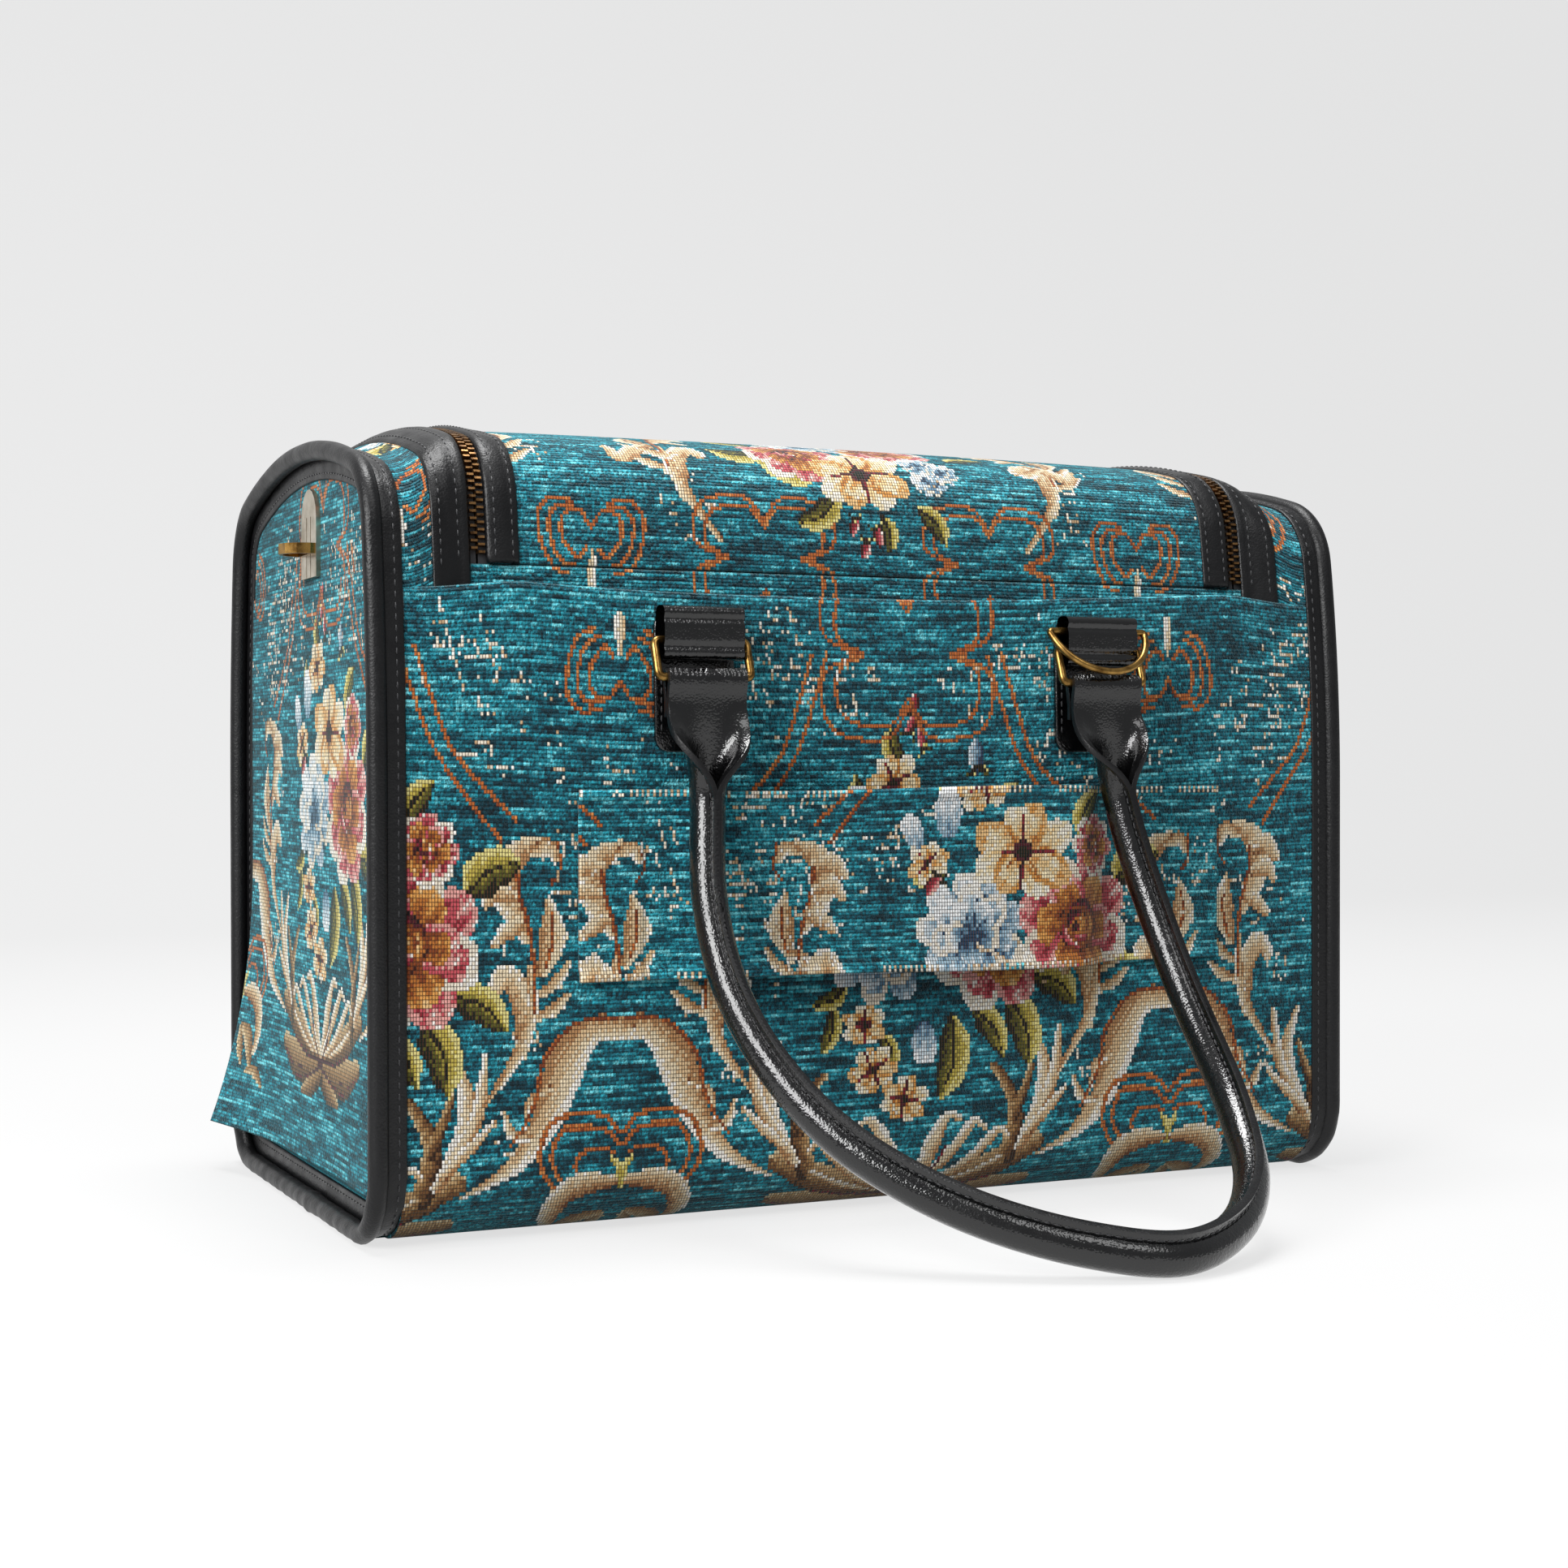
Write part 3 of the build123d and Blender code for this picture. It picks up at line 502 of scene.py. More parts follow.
    def stems(self, x, y):
        """Acanthus stems that climb from the arch: a lobed leaf, a spear leaf and a curl each."""
        self.draw(x, y, CREAM, 0.55, 0.35,
                  ([(36, 167), (44, 163), (50, 154), (46, 143), (40, 132)], (2.5, 5.5, 6.2, 5.0, 2.0)),
                  ([(45, 158), (53, 159), (58, 154)], (3.0, 4.4, 2.6)),
                  ([(46, 148), (53, 149), (57, 145)], (2.6, 3.8, 2.0)),
                  ([(41, 138), (48, 135), (53, 131)], (2.2, 3.6, 2.0)),
                  ([(37, 164), (31, 166), (28, 161)], (2.2, 3.2, 1.6)),
                  ([(34, 120), (29, 133), (31, 148)], (2.2, 6.2, 0.8)),
                  ([(35, 112), (27, 117), (22, 124)], (1.6, 2.6, 1.0)),
                  ([(36, 104), (28, 107), (22, 112)], (1.6, 2.6, 1.0)),
                  ([(42, 90), (41, 102), (43, 113), (49, 119), (54, 114)], (2.2, 4.0, 4.6, 5.0, 3.0)),
                  ([(58, 72), (50, 82), (43, 92), (38, 106), (38, 122)], (0.9, 1.8, 2.8, 2.4, 1.4)))
        self.draw(x, y, RUST, 0.2, 0.0,
                  ([(44, 158), (43, 148), (39, 136), (37, 120), (37, 106)], (0.7, 0.9, 0.6)),
                  ([(30, 143), (29, 133), (32, 122)], (0.5, 0.7)),
                  ([(30, 152), (26, 158), (27, 168)], (0.6, 0.6)))
        for inner in (0, 7):
            self.draw(x, y, RUST, 0.55, 0.2,
                      ([(51 - inner, 168 + inner), (64 - inner, 183 + inner / 2), (77 - inner, 200),
                        (86 - inner, 222), (92 - inner, 240)], (0.9, 0.9)))

    def palmette(self, x, y):
        """Curled fronds over broad veined leaves, with tall forked fronds at both ends."""
        self.draw(x, y, TAN, 0.42, 0.42,
                  ([(2, 20), (24, 19), (42, 21), (60, 26)], (4.0, 8.0, 9.0, 4.0)),
                  ([(0, 17), (14, 12), (28, 8)], (4.0, 5.6, 2.0)),
                  ([(0, 26), (22, 29), (44, 37), (62, 45)], (2.0, 5.6, 7.0, 4.2)),
                  ([(48, 40), (52, 58), (45, 72), (40, 77)], (4.6, 4.2, 3.0, 1.6)),
                  ([(51, 56), (57, 68), (60, 76)], (2.6, 2.4, 1.4)))
        self.draw(x, y, CREAM, 0.66, 0.45,
                  ([(0, 25), (7, 38), (11, 48), (18, 58), (24, 57)], (1.2, 3.4, 4.2, 2.8, 1.2)),
                  ([(2, 26), (14, 37), (22, 46), (31, 55), (37, 52)], (1.0, 2.4, 2.6, 2.4, 1.2)),
                  ([(6, 26), (20, 33), (32, 42), (43, 51), (48, 48)], (1.0, 2.2, 2.4, 2.4, 1.2)),
                  ([(12, 26), (30, 32), (46, 40)], (0.8, 1.8, 1.0)),
                  ([(54, 44), (64, 60), (66, 76), (61, 90)], (2.4, 4.2, 3.6, 1.4)),
                  ([(60, 54), (70, 68), (74, 90)], (2.0, 3.0, 1.4)),
                  ([(56, 48), (68, 58), (77, 66)], (2.0, 2.4, 1.2)))
        self.draw(x, y, MAROON, 0.6, 0.0,
                  ([(0, 23), (20, 24), (44, 30)], (0.9, 0.7, 0.4)),
                  ([(0, 21), (20, 15), (40, 13)], (0.9, 0.7, 0.4)),
                  ([(2, 24), (12, 36), (18, 48)], (0.5, 0.7, 0.4)),
                  ([(30, 18), (44, 17), (58, 22)], (0.5, 0.6)))

    def cartouche(self, x, y, size, turn=1):
        """A rounded frame and a heart in it, both in double rust lines, and a cream drop."""
        for grow in (1.0, 0.8):
            outer = [(0.35, 0.75), (0.72, 0.82), (0.98, 0.5), (0.95, -0.1), (0.75, -0.6), (0.45, -0.75)]
            self.draw(x, y, RUST, 0.55, 0.2,
                      ([(size * grow * a, turn * size * grow * 0.85 * b) for a, b in outer], (0.9, 0.9)))
        heart = [(0.0, 0.18), (0.22, 0.48), (0.52, 0.40), (0.55, 0.0), (0.30, -0.35), (0.12, -0.2)]
        self.draw(x, y, RUST, 0.55, 0.2, ([(size * a, turn * size * b) for a, b in heart], (0.9, 0.9)))
        self.stroke([(x, y - turn * size * 0.25), (x, y - turn * size * 0.85)], (0.8, 2.2, 2.0),
                    CREAM, 0.8, 0.3)

    def quatrefoil(self, x, y, size):
        """A large lobed frame drawn twice in thin rust lines."""
        for grow in (1.0, 0.84):
            lobes = [[(r * math.cos(middle + a), 0.8 * r * math.sin(middle + a))
                      for r, a in ((0.55, -0.78), (0.92, -0.52), (1.12, 0.0), (0.92, 0.52), (0.55, 0.78))]
                     for middle in (math.pi / 4, -math.pi / 4)]
            for lobe in lobes:
                self.draw(x, y, RUST, 0.55, 0.2,
                          ([(size * grow * a, size * grow * b) for a, b in lobe], (0.8, 0.8)))

    def twigs(self, x, y, wide, high, amount, seed):
        """A sparse broken net of white twigs, one cell wide."""
        cells = self.inside((x - wide, y - high), (x + wide, y + high))
        across, row = self.cell[0][cells], self.cell[1][cells]
        u, v = self.u[cells], self.v[cells]
        shifted = across + row // 3
        column, step_in = np.divmod(shifted, 4)
        band, step_up = np.divmod(row, 3)
        upright = (step_in == 0) & (scatter(column, band, seed) < 0.34)
        level = (step_up == 0) & (scatter(column, band, seed + 1) < 0.30)
        knot = (step_in == 2) & (step_up == 1) & (scatter(column, band, seed + 2) < 0.18)
        fall = 1 - ((u - x) / wide) ** 2 - ((v - y) / high) ** 2
        keep = value_noise(u / 8, v / 8, seed) + 0.35 * fall > 1.33 - amount
        lost = scatter(across, row, seed + 4) < 0.28
        self.lay(cells, (upright | level | knot) & keep & (fall > 0) & ~lost, WHITE,
                 0.05 + 0.85 * scatter(across, row, seed + 3))

    def bouquet(self, x, y):
        """The posy over a palmette: a blue bloom and a rose in the middle, small ones round them."""
        for across, up, length, angle, width in (
                (20, 98, 34, -1.75, 8), (30, 100, 26, -0.9, 6), (-36, 104, 20, -1.9, 4),
                (-30, 112, 18, 3.6, 4), (60, 112, 26, -0.5, 7), (48, 104, 30, -1.2, 8),
                (66, 148, 26, 0.5, 8), (40, 168, 24, 1.0, 6), (-20, 176, 18, 1.9, 5),
                (-26, 150, 18, 2.8, 4), (-4, 196, 16, 1.9, 5), (-14, 92, 16, -1.2, 4)):
            self.leaf(x + across, y + up, length, angle, width)
        for across, up, radius, turn in (
                (-22, 96, 9, 0.4), (-18, 78, 10, 0.9), (-3, 66, 10, 0.2), (-34, 158, 9, 1.2)):
            self.poppy(x + across, y + up, radius, turn)
        self.petal(x + 6, y + 96, 16, 6, -1.5, BLUE, 0.6)
        self.petal(x - 24, y + 168, 20, 6.5, 1.6, BLUE, 0.75)
        self.petal(x - 38, y + 164, 14, 5, 2.0, BLUE, 0.75)
        self.peony(x - 13, y + 129, 25)
        self.rose(x + 41, y + 130, 28, 0.5)
        self.poppy(x + 12, y + 162, 22, 0.35)
        self.rose(x + 50, y + 164, 12, 1.5)
        self.bud(x - 30, y + 152, 9, 4.2)
        self.poppy(x - 8, y + 190, 12, 0.8)
        self.bud(x + 33, y + 196, 11, 1.6, BLUE)
        for across, up in ((0, 210), (7, 204), (2, 218)):
            self.bud(x + across, y + up, 7, 1.2 + across * 0.1)

    def repeat(self, x, y):
        """One repeat of the pattern: palmette and posy, and half an arch with its stem each side."""
        for side in (-1, 1):
            centre = x + side * 131
            self.arch(centre, y)
            self.stems(centre, y)
            for across, up, wide, high, amount in (
                    (44, 208, 26, 28, 0.62), (0, 196, 18, 14, 0.6), (70, 240, 20, 16, 0.6),
                    (20, 160, 14, 26, 0.55), (47, 66, 10, 16, 0.55), (46, 128, 30, 40, 0.42)):
                for turned in (-1, 1):
                    self.twigs(centre + turned * across, y + up, wide, high, amount, across + 3)
            self.cartouche(centre, y + 232, 23, -1)
        self.palmette(x, y)
        self.bouquet(x, y)
        self.quatrefoil(x, y + 240, 46)
        for side in (-1, 1):
            self.twigs(x + side * 30, y + 226, 26, 20, 0.5, 12)
            self.twigs(x + side * 62, y + 236, 22, 22, 0.6, 15)


def wall_picture(u, v):
    """The picture on the near pocket and the far wall, from the middle of the bag and its base."""
    cloth = Tapestry(u, v, 1)
    for x in (6, -256, 268):
        cloth.repeat(x, 0)
    return cloth


def lid_picture(u, v):
    """The picture on the lid, from the middle of the bag and from the hinge."""
    cloth = Tapestry(u, v, 2)
    for x in (-133, 128):
        cloth.cartouche(x, 12, 23)
        cloth.twigs(x + 46, 34, 22, 26, 0.6, 5)
        cloth.twigs(x - 32, 44, 22, 30, 0.6, 6)
        cloth.stems(x, -60)
        cloth.arch(x, 116)
    cloth.quatrefoil(52, 6, 36)
    cloth.quatrefoil(-56, 6, 36)
    for across, up, length, angle, width in (
            (-26, 44, 30, 2.8, 7), (-20, 34, 24, 3.7, 6), (18, 30, 20, -0.9, 5), (-50, 56, 24, 2.9, 6),
            (44, 62, 24, 0.4, 6), (24, 90, 26, 0.9, 7), (-44, 82, 24, 2.2, 7), (0, 26, 16, -1.4, 4)):
        cloth.leaf(across, up, length, angle, width)
    cloth.rose(-34, 62, 20, 0.2)
    cloth.rose(14, 82, 24, 0.9)
    cloth.peony(-16, 92, 20)
    cloth.poppy(-7, 46, 20, 0.5)
    for across, up, turn in ((26, 44, 0.3), (34, 50, 1.0), (24, 56, 1.7)):
        cloth.peony(across, up, 8, turn)
    for across, up, angle in ((-13, 24, 4.5), (-3, 20, 4.9), (-8, 14, 4.4)):
        cloth.bud(across, up, 7, angle)
    cloth.draw(-8, -12, CREAM, 0.6, 0.4, ([(92, 76), (100, 68), (108, 62), (112, 70)], (2.0, 4.4, 4.0, 2.0)),
               ([(96, 70), (88, 64), (82, 66)], (2.0, 3.0, 1.4)))
    cloth.palmette(6, 146)
    for x in (-92, 108):
        cloth.bouquet(x, 96)
    return cloth


def curtain_picture(u, v):
    """The picture on an end curtain, from its middle and from the floor."""
    cloth = Tapestry(u, v, 3)
    cloth.repeat(24, 40)
    cloth.twigs(-44, 246, 40, 34, 0.66, 21)
    cloth.twigs(50, 262, 46, 34, 0.62, 22)
    return cloth


def sleeve_picture(u, v):
    """The picture on the trolley sleeve, cut from lower down in the same pattern."""
    cloth = Tapestry(u, v, 4)
    cloth.repeat(41, -11)
    cloth.hem(v.min(), v.max())
    cloth.twigs(-68, 140, 44, 40, 0.66, 31)
    cloth.twigs(-4, 150, 26, 30, 0.5, 32)
    return cloth


def strip_picture(u, v):
    """The picture on the body's skin beside the zip."""
    cloth = Tapestry(u, v, 6)
    whole = BODY.run[-1]
    for x in (-200, 200):
        cloth.twigs(x, HINGE_S + 8, 20, 34, 0.66, 41)
        cloth.twigs(x, HINGE_S + 170, 20, 60, 0.6, 43)
        cloth.cartouche(x - 14, HINGE_S + 40, 22)
        cloth.peony(x + 4, HINGE_S + 116, 13)
        cloth.poppy(x + 4, HINGE_S + 94, 14)
        cloth.leaf(x - 8, HINGE_S + 84, 18, 1.2)
        cloth.rose(x, whole - 120, 26)
    return cloth


def connect(tree, node, inputs):
    """Links each socket given to an input of the node, and sets each value given."""
    for name, value in inputs.items() if isinstance(inputs, dict) else enumerate(inputs):
        if isinstance(value, bpy.types.NodeSocket):
            tree.links.new(value, node.inputs[name])
        else:
            node.inputs[name].default_value = value


def add(tree, kind, inputs=(), **settings):
    """Adds a node with its settings and inputs, and gives its outputs."""
    node = tree.nodes.new("ShaderNode" + kind)
    for name, value in settings.items():
        setattr(node, name, value)
    connect(tree, node, inputs)
    return node.outputs


def new_material(name, inputs):
    """A material with a Principled shader whose constant sockets are set."""
    finish = bpy.data.materials.new(name)
    finish.use_nodes = True
    shader = finish.node_tree.nodes["Principled BSDF"]
    connect(finish.node_tree, shader, inputs)
    return finish, finish.node_tree, shader


def colour4(code):
    """A hex code as a shader socket takes it."""
    return (*linear(code), 1.0)


def weave_nodes(tree, shader, place, colour, woven):
    """Tufted ribs of chenille on the ground. On the motifs flat floats, crossed by brown warp."""
    across, up = add(tree, "SeparateXYZ", (place,))[:2]
    waves, noises = [], []
    for along, pitch in ((up, RIB), (across, CELL_ACROSS)):
        turn = add(tree, "Math", (along, 2 * math.pi / (pitch * MM)), operation="MULTIPLY")[0]
        late = add(tree, "Math", (turn, math.pi / 2), operation="SUBTRACT")[0]
        waves.append(add(tree, "Math", (late,), operation="SINE")[0])
    # Noise that is drawn out along the weft yarn, in millimetres
    for long, detail in ((1.1, 2.0), (7.0, 3.0)):
        drawn_out = add(tree, "Mapping", {"Vector": place, "Scale": (1 / (long * MM), 1 / (RIB * MM), 1)})[0]
        noises.append(add(tree, "TexNoise", {
            "Vector": drawn_out, "Scale": 1.0, "Detail": detail, "Roughness": 0.6}, noise_dimensions="2D")[0])
    (rib, warp), (tuft, slub) = waves, noises
    # Painted shade and highlight: the colour is darkened in the grooves between the ribs and between the
    # floats, and lightened on the tufts' tops; the slub noise is the yarn's own tone
    rib_top = add(tree, "MapRange", (rib, -1.0, 0.6, 0.0, 0.7))[0]
    tuft_top = add(tree, "MapRange", (tuft, 0.3, 0.7, 0.0, 1.15))[0]
    tufted = add(tree, "Math", (rib_top, tuft_top), operation="ADD")[0]
    between = add(tree, "Math", (tufted, 0.42), operation="SUBTRACT")[0]
    ground = add(tree, "Math", (between, slub), operation="ADD")[0]
    float_gap = add(tree, "MapRange", (rib, -1.0, -0.25))[0]
    warp_gap = add(tree, "MapRange", (warp, -1.0, -0.35))[0]
    float_light = add(tree, "MapRange", (float_gap, 0.0, 1.0, 0.28, 0.8))[0]
    float_fuzz = add(tree, "MapRange", (tuft, 0.3, 0.7, 0.0, 0.45))[0]
    floats = add(tree, "Math", (float_light, float_fuzz), operation="ADD")[0]
    light = add(tree, "Mix", {0: woven, 2: ground, 3: floats}, data_type="FLOAT")[0]
    between_warps = add(tree, "Math", (warp_gap, 0.75), operation="MULTIPLY")[0]
    on_warp = add(tree, "Math", (0.75, between_warps), operation="SUBTRACT")[0]
    crossing = add(tree, "Math", (on_warp, woven), operation="MULTIPLY")[0]
    crossed = add(tree, "Mix", {0: crossing, 6: colour, 7: tint("warp")}, data_type="RGBA")[2]
    shade = add(tree, "CombineXYZ", (light, light, light))[0]
    lit = add(tree, "Mix", {0: 1.0, 6: crossed, 7: shade}, data_type="RGBA", blend_type="MULTIPLY")[2]
    both_gaps = add(tree, "Math", (float_gap, warp_gap), operation="ADD")[0]
    flat_height = add(tree, "Math", (both_gaps, 0.3), operation="MULTIPLY")[0]
    height = add(tree, "Mix", {0: woven, 2: tufted, 3: flat_height}, data_type="FLOAT")[0]
    bump = add(tree, "Bump", {"Distance": 0.7 * MM, "Strength": 1.0, "Height": height})[0]
    connect(tree, shader, {"Base Color": lit, "Normal": bump})


def make_tapestry():
    """Chenille tapestry: a cut-pile weft that takes the light softly, with flat woven motifs."""
    finish, tree, shader = new_material("chenille_tapestry", {
        "Roughness": 0.85, "Sheen Weight": 0.3, "Sheen Roughness": 0.4,
        "Sheen Tint": colour4("#bfe9ec"), "Specular IOR Level": 0.25})
    picture = add(tree, "Attribute", attribute_name="picture")
    place = add(tree, "UVMap", uv_map="cloth")[0]
    weave_nodes(tree, shader, place, picture["Color"], picture["Alpha"])
    return finish


def make_plain_chenille():
    """The same chenille without motifs, for the parts that the trim and curtains cover."""
    finish, tree, shader = new_material("plain_chenille", {
        "Roughness": 0.9, "Sheen Weight": 0.2, "Sheen Roughness": 0.5,
        "Sheen Tint": colour4("#a9dbe0"), "Specular IOR Level": 0.2})
    spot = add(tree, "SeparateXYZ", (add(tree, "TexCoord")["Object"],))
    flat = add(tree, "CombineXYZ", (spot[1], spot[2]))[0]
    patch = add(tree, "TexNoise", {"Vector": flat, "Scale": 60.0, "Detail": 4.0})[0]
    colour = add(tree, "Mix", {0: patch, 6: colour4("#0a3b49"), 7: colour4("#237f8c")}, data_type="RGBA")[2]
    weave_nodes(tree, shader, flat, colour, 0.0)
    return finish


def make_leather(name, leather, roughness, grain, coat):
    """Coated black leather: a glossy skin over a fine pebbled grain, with soft creases."""
    finish, tree, shader = new_material(name, {
        "Base Color": leather, "Roughness": roughness, "Coat Weight": coat,
        "Coat Roughness": 0.09, "IOR": 1.5, "Specular IOR Level": 0.35})
    spot = add(tree, "TexCoord")["Object"]
    pebble = add(tree, "TexVoronoi", {"Vector": spot, "Scale": 1 / (0.9 * MM), "Smoothness": 0.6},
                 feature="SMOOTH_F1")["Distance"]
    crease = add(tree, "TexNoise", {
        "Vector": spot, "Scale": 1 / (9 * MM), "Detail": 5.0, "Roughness": 0.55})[0]
    grain_height = add(tree, "Math", (pebble, -grain), operation="MULTIPLY")[0]
    crease_height = add(tree, "Math", (crease, 1.6), operation="MULTIPLY")[0]
    height = add(tree, "Math", (grain_height, crease_height), operation="ADD")[0]
    bump = add(tree, "Bump", {"Distance": 0.35 * MM, "Strength": 0.6, "Height": height})[0]
    wear = add(tree, "MapRange", (crease, 0.3, 0.7, roughness - 0.07, roughness + 0.1))[0]
    connect(tree, shader, {"Roughness": wear, "Normal": bump, "Coat Normal": bump})
    return finish


def make_metal(name, bare, dark, roughness, patina_mm):
    """Plated metal with a darker patina in patches and a little wear."""
    finish, tree, shader = new_material(name, {"Metallic": 1.0, "Roughness": roughness})
    spot = add(tree, "TexCoord")["Object"]
    patina = add(tree, "TexNoise", {
        "Vector": spot, "Scale": 1 / (patina_mm * MM), "Detail": 6.0, "Roughness": 0.6})[0]
    share = add(tree, "MapRange", (patina, 0.35, 0.65))[0]
    colour = add(tree, "Mix", {0: share, 6: dark, 7: bare}, data_type="RGBA")[2]
    worn = add(tree, "MapRange", (patina, 0.0, 1.0, roughness + 0.12, roughness - 0.05))[0]
    scratch = add(tree, "TexNoise", {"Vector": spot, "Scale": 1 / (0.5 * MM), "Detail": 2.0})[0]
    bump = add(tree, "Bump", {"Distance": 0.03 * MM, "Strength": 0.3, "Height": scratch})[0]
    connect(tree, shader, {"Base Color": colour, "Roughness": worn, "Normal": bump})
    return finish


def make_thread(name, dye):
    """Polyester thread: two plies that catch a little light."""
    finish, tree, shader = new_material(name, {"Roughness": 0.5, "Sheen Weight": 0.3})
    ply = add(tree, "TexWave", {
        "Vector": add(tree, "TexCoord")["Object"], "Scale": 1 / (1.2 * MM), "Distortion": 2.0})["Fac"]
    # The lighter grey along each ply is a painted highlight on its twist
    colour = add(tree, "Mix", {0: ply, 6: dye, 7: colour4("#2b2b30")}, data_type="RGBA")[2]
    connect(tree, shader, {"Base Color": colour})
    return finish


def make_woven_lining(name, dark, light_code, pitch_mm):
    """Plain-woven cloth: a small checker of warp over weft."""
    finish, tree, shader = new_material(name, {"Roughness": 0.75, "Sheen Weight": 0.15})
    check = add(tree, "TexChecker", {
        "Vector": add(tree, "TexCoord")["Object"], "Color1": dark, "Color2": colour4(light_code),
        "Scale": 1 / (pitch_mm * MM)})
    bump = add(tree, "Bump", {"Distance": 0.15 * MM, "Strength": 0.5, "Height": check[1]})[0]
    connect(tree, shader, {"Base Color": check[0], "Normal": bump})
    return finish


def make_netting():
    """Black hexagonal ventilation netting, open between its threads."""
    finish, tree, shader = new_material("ventilation_netting", {
        "Base Color": tint("netting"), "Roughness": 0.55})
    edge = add(tree, "TexVoronoi", {
        "Vector": add(tree, "TexCoord")["Object"], "Scale": 1 / (2.6 * MM), "Randomness": 0.15},
        feature="DISTANCE_TO_EDGE")["Distance"]
    connect(tree, shader, {"Alpha": add(tree, "MapRange", (edge, 0.16, 0.2, 1.0, 0.0))[0]})
    return finish


def make_materials():
    """Every finish of the carrier, by a short name."""
    return {
        "tapestry": make_tapestry(),
        "plain": make_plain_chenille(),
        # Finished leather with a satin coat: broad dim highlights along piping and zip bands
        "trim": make_leather("satin_black_leather", tint("trim"), 0.4, 0.5, 0.0),
        # Leather under a clear coat: narrow bright bands broken by the grain
        "handle": make_leather("glossy_black_leather", tint("handle"), 0.2, 0.5, 0.7),
        # Tumbled brass with a brown patina: warm edges, dull hollows
        "brass": make_metal("antique_brass", tint("brass"), tint("brass_patina"), 0.26, 6.0),
        # Bronze-plated zip: darker and duller than the rings, worn where the teeth rub
        "bronze": make_metal("bronzed_zip_metal", tint("bronze"), tint("bronze_patina"), 0.34, 3.0),
        # Pale brushed brass: almost even, a soft grey-gold sheen
        "champagne": make_metal("champagne_brass", tint("champagne"), colour4("#a2957c"), 0.3, 14.0),
        "thread": make_thread("black_thread", tint("thread")),
        # The real weaves are finer than a millimetre, drawn as coarse as they need to show
        "lining": make_woven_lining("nylon_lining", tint("lining"), "#1f2f38", 0.8),
        "pad": make_woven_lining("pad_cover", tint("pad"), "#a5a7a2", 1.2),
        "board": make_woven_lining("fibre_board", tint("board"), "#39322a", 2.0),
        "net": make_netting(),
    }


FINISHES = {}


def finish_of(name):
    """One of the carrier's finishes, all made when the first is asked for."""
    if not FINISHES:
        FINISHES.update(make_materials())
    return FINISHES[name]


def place_object(name, form, finish, smooth_faces=True):
    """Turns a bmesh in metres into an object with one finish."""
    mesh = bpy.data.meshes.new(name)
    form.to_mesh(mesh)
    form.free()
    if smooth_faces:
        mesh.shade_smooth()
    piece = bpy.data.objects.new(name, mesh)
    bpy.context.scene.collection.objects.link(piece)
    mesh.materials.append(finish_of(finish))
    return piece


def grid_form(across, along, place, closed_across=False, closed_along=False, outward=None, form=None):
    """A bmesh grid whose vertices go where place says, from their two shares, in millimetres."""
    sheet = bmesh.new()
    bmesh.ops.create_grid(sheet, x_segments=across, y_segments=along, size=0.5)
    shares = np.array([vertex.co[:2] for vertex in sheet.verts]) + 0.5
    points = place(shares[:, 0], shares[:, 1]) * MM
    for vertex, point in zip(sheet.verts, points):
        vertex.co = point
    if closed_across or closed_along:
        bmesh.ops.remove_doubles(sheet, verts=sheet.verts, dist=0.01 * MM)
        bmesh.ops.recalc_face_normals(sheet, faces=sheet.faces)
    elif outward is not None:
        turn_outward(sheet, outward)
    if form is None:
        return sheet
    held = bpy.data.meshes.new("held")
    sheet.to_mesh(held)
    sheet.free()
    form.from_mesh(held)
    bpy.data.meshes.remove(held)
    return form


def turn_outward(sheet, outward):
    """Makes an open sheet's faces look along a direction."""
    sheet.normal_update()
    total = Vector((0, 0, 0))
    for face in sheet.faces:
        total += face.normal * face.calc_area()
    if total.dot(Vector(outward)) < 0:
        bmesh.ops.reverse_faces(sheet, faces=sheet.faces)


def cloth_piece(name, size, start, place, picture, outward, thickness=0.0):
    """A sheet of tapestry: a dense grid with one face for each woven cell.

    size and start are the flat cloth's size and its lower left corner in the picture. place
    gives the points for shares across and along, and picture weaves the colours."""
    across, along = max(2, round(size[0] / CELL_ACROSS)), max(2, round(size[1] / RIB))
    form = bmesh.new()
    bmesh.ops.create_grid(form, x_segments=across, y_segments=along, size=0.5)
    mesh = bpy.data.meshes.new(name)
    form.to_mesh(mesh)
    form.free()
    flat = np.zeros(len(mesh.vertices) * 3)
    mesh.vertices.foreach_get("co", flat)
    shares = flat.reshape(-1, 3)[:, :2] + 0.5
    points = place(shares[:, 0], shares[:, 1]) * MM
    mesh.vertices.foreach_set("co", points.ravel())
    corners = np.zeros(len(mesh.loops), np.int64)
    mesh.loops.foreach_get("vertex_index", corners)
    u = (round(start[0] / CELL_ACROSS) + shares[:, 0] * across) * CELL_ACROSS
    v = (round(start[1] / RIB) + shares[:, 1] * along) * RIB
    layer = mesh.uv_layers.new(name="cloth")
    layer.data.foreach_set("uv", np.stack([u[corners], v[corners]], 1).ravel() * MM)
    middle = corners.reshape(-1, 4)
    woven = picture(u[middle].mean(1), v[middle].mean(1))
    cells = np.concatenate([woven.colour, woven.woven[:, None]], 1)
    attribute = mesh.color_attributes.new("picture", "FLOAT_COLOR", "CORNER")
    attribute.data.foreach_set("color", np.repeat(cells, 4, axis=0).ravel())
    mesh.update()
    normals = np.zeros(len(mesh.polygons) * 3)
    mesh.polygons.foreach_get("normal", normals)
    if normals.reshape(-1, 3).sum(0) @ np.array(outward) < 0:
        mesh.flip_normals()
    mesh.shade_smooth()
    piece = bpy.data.objects.new(name, mesh)
    bpy.context.scene.collection.objects.link(piece)
    mesh.materials.append(finish_of("tapestry"))
    if thickness:
        thicken(piece, thickness, "lining")
    return piece


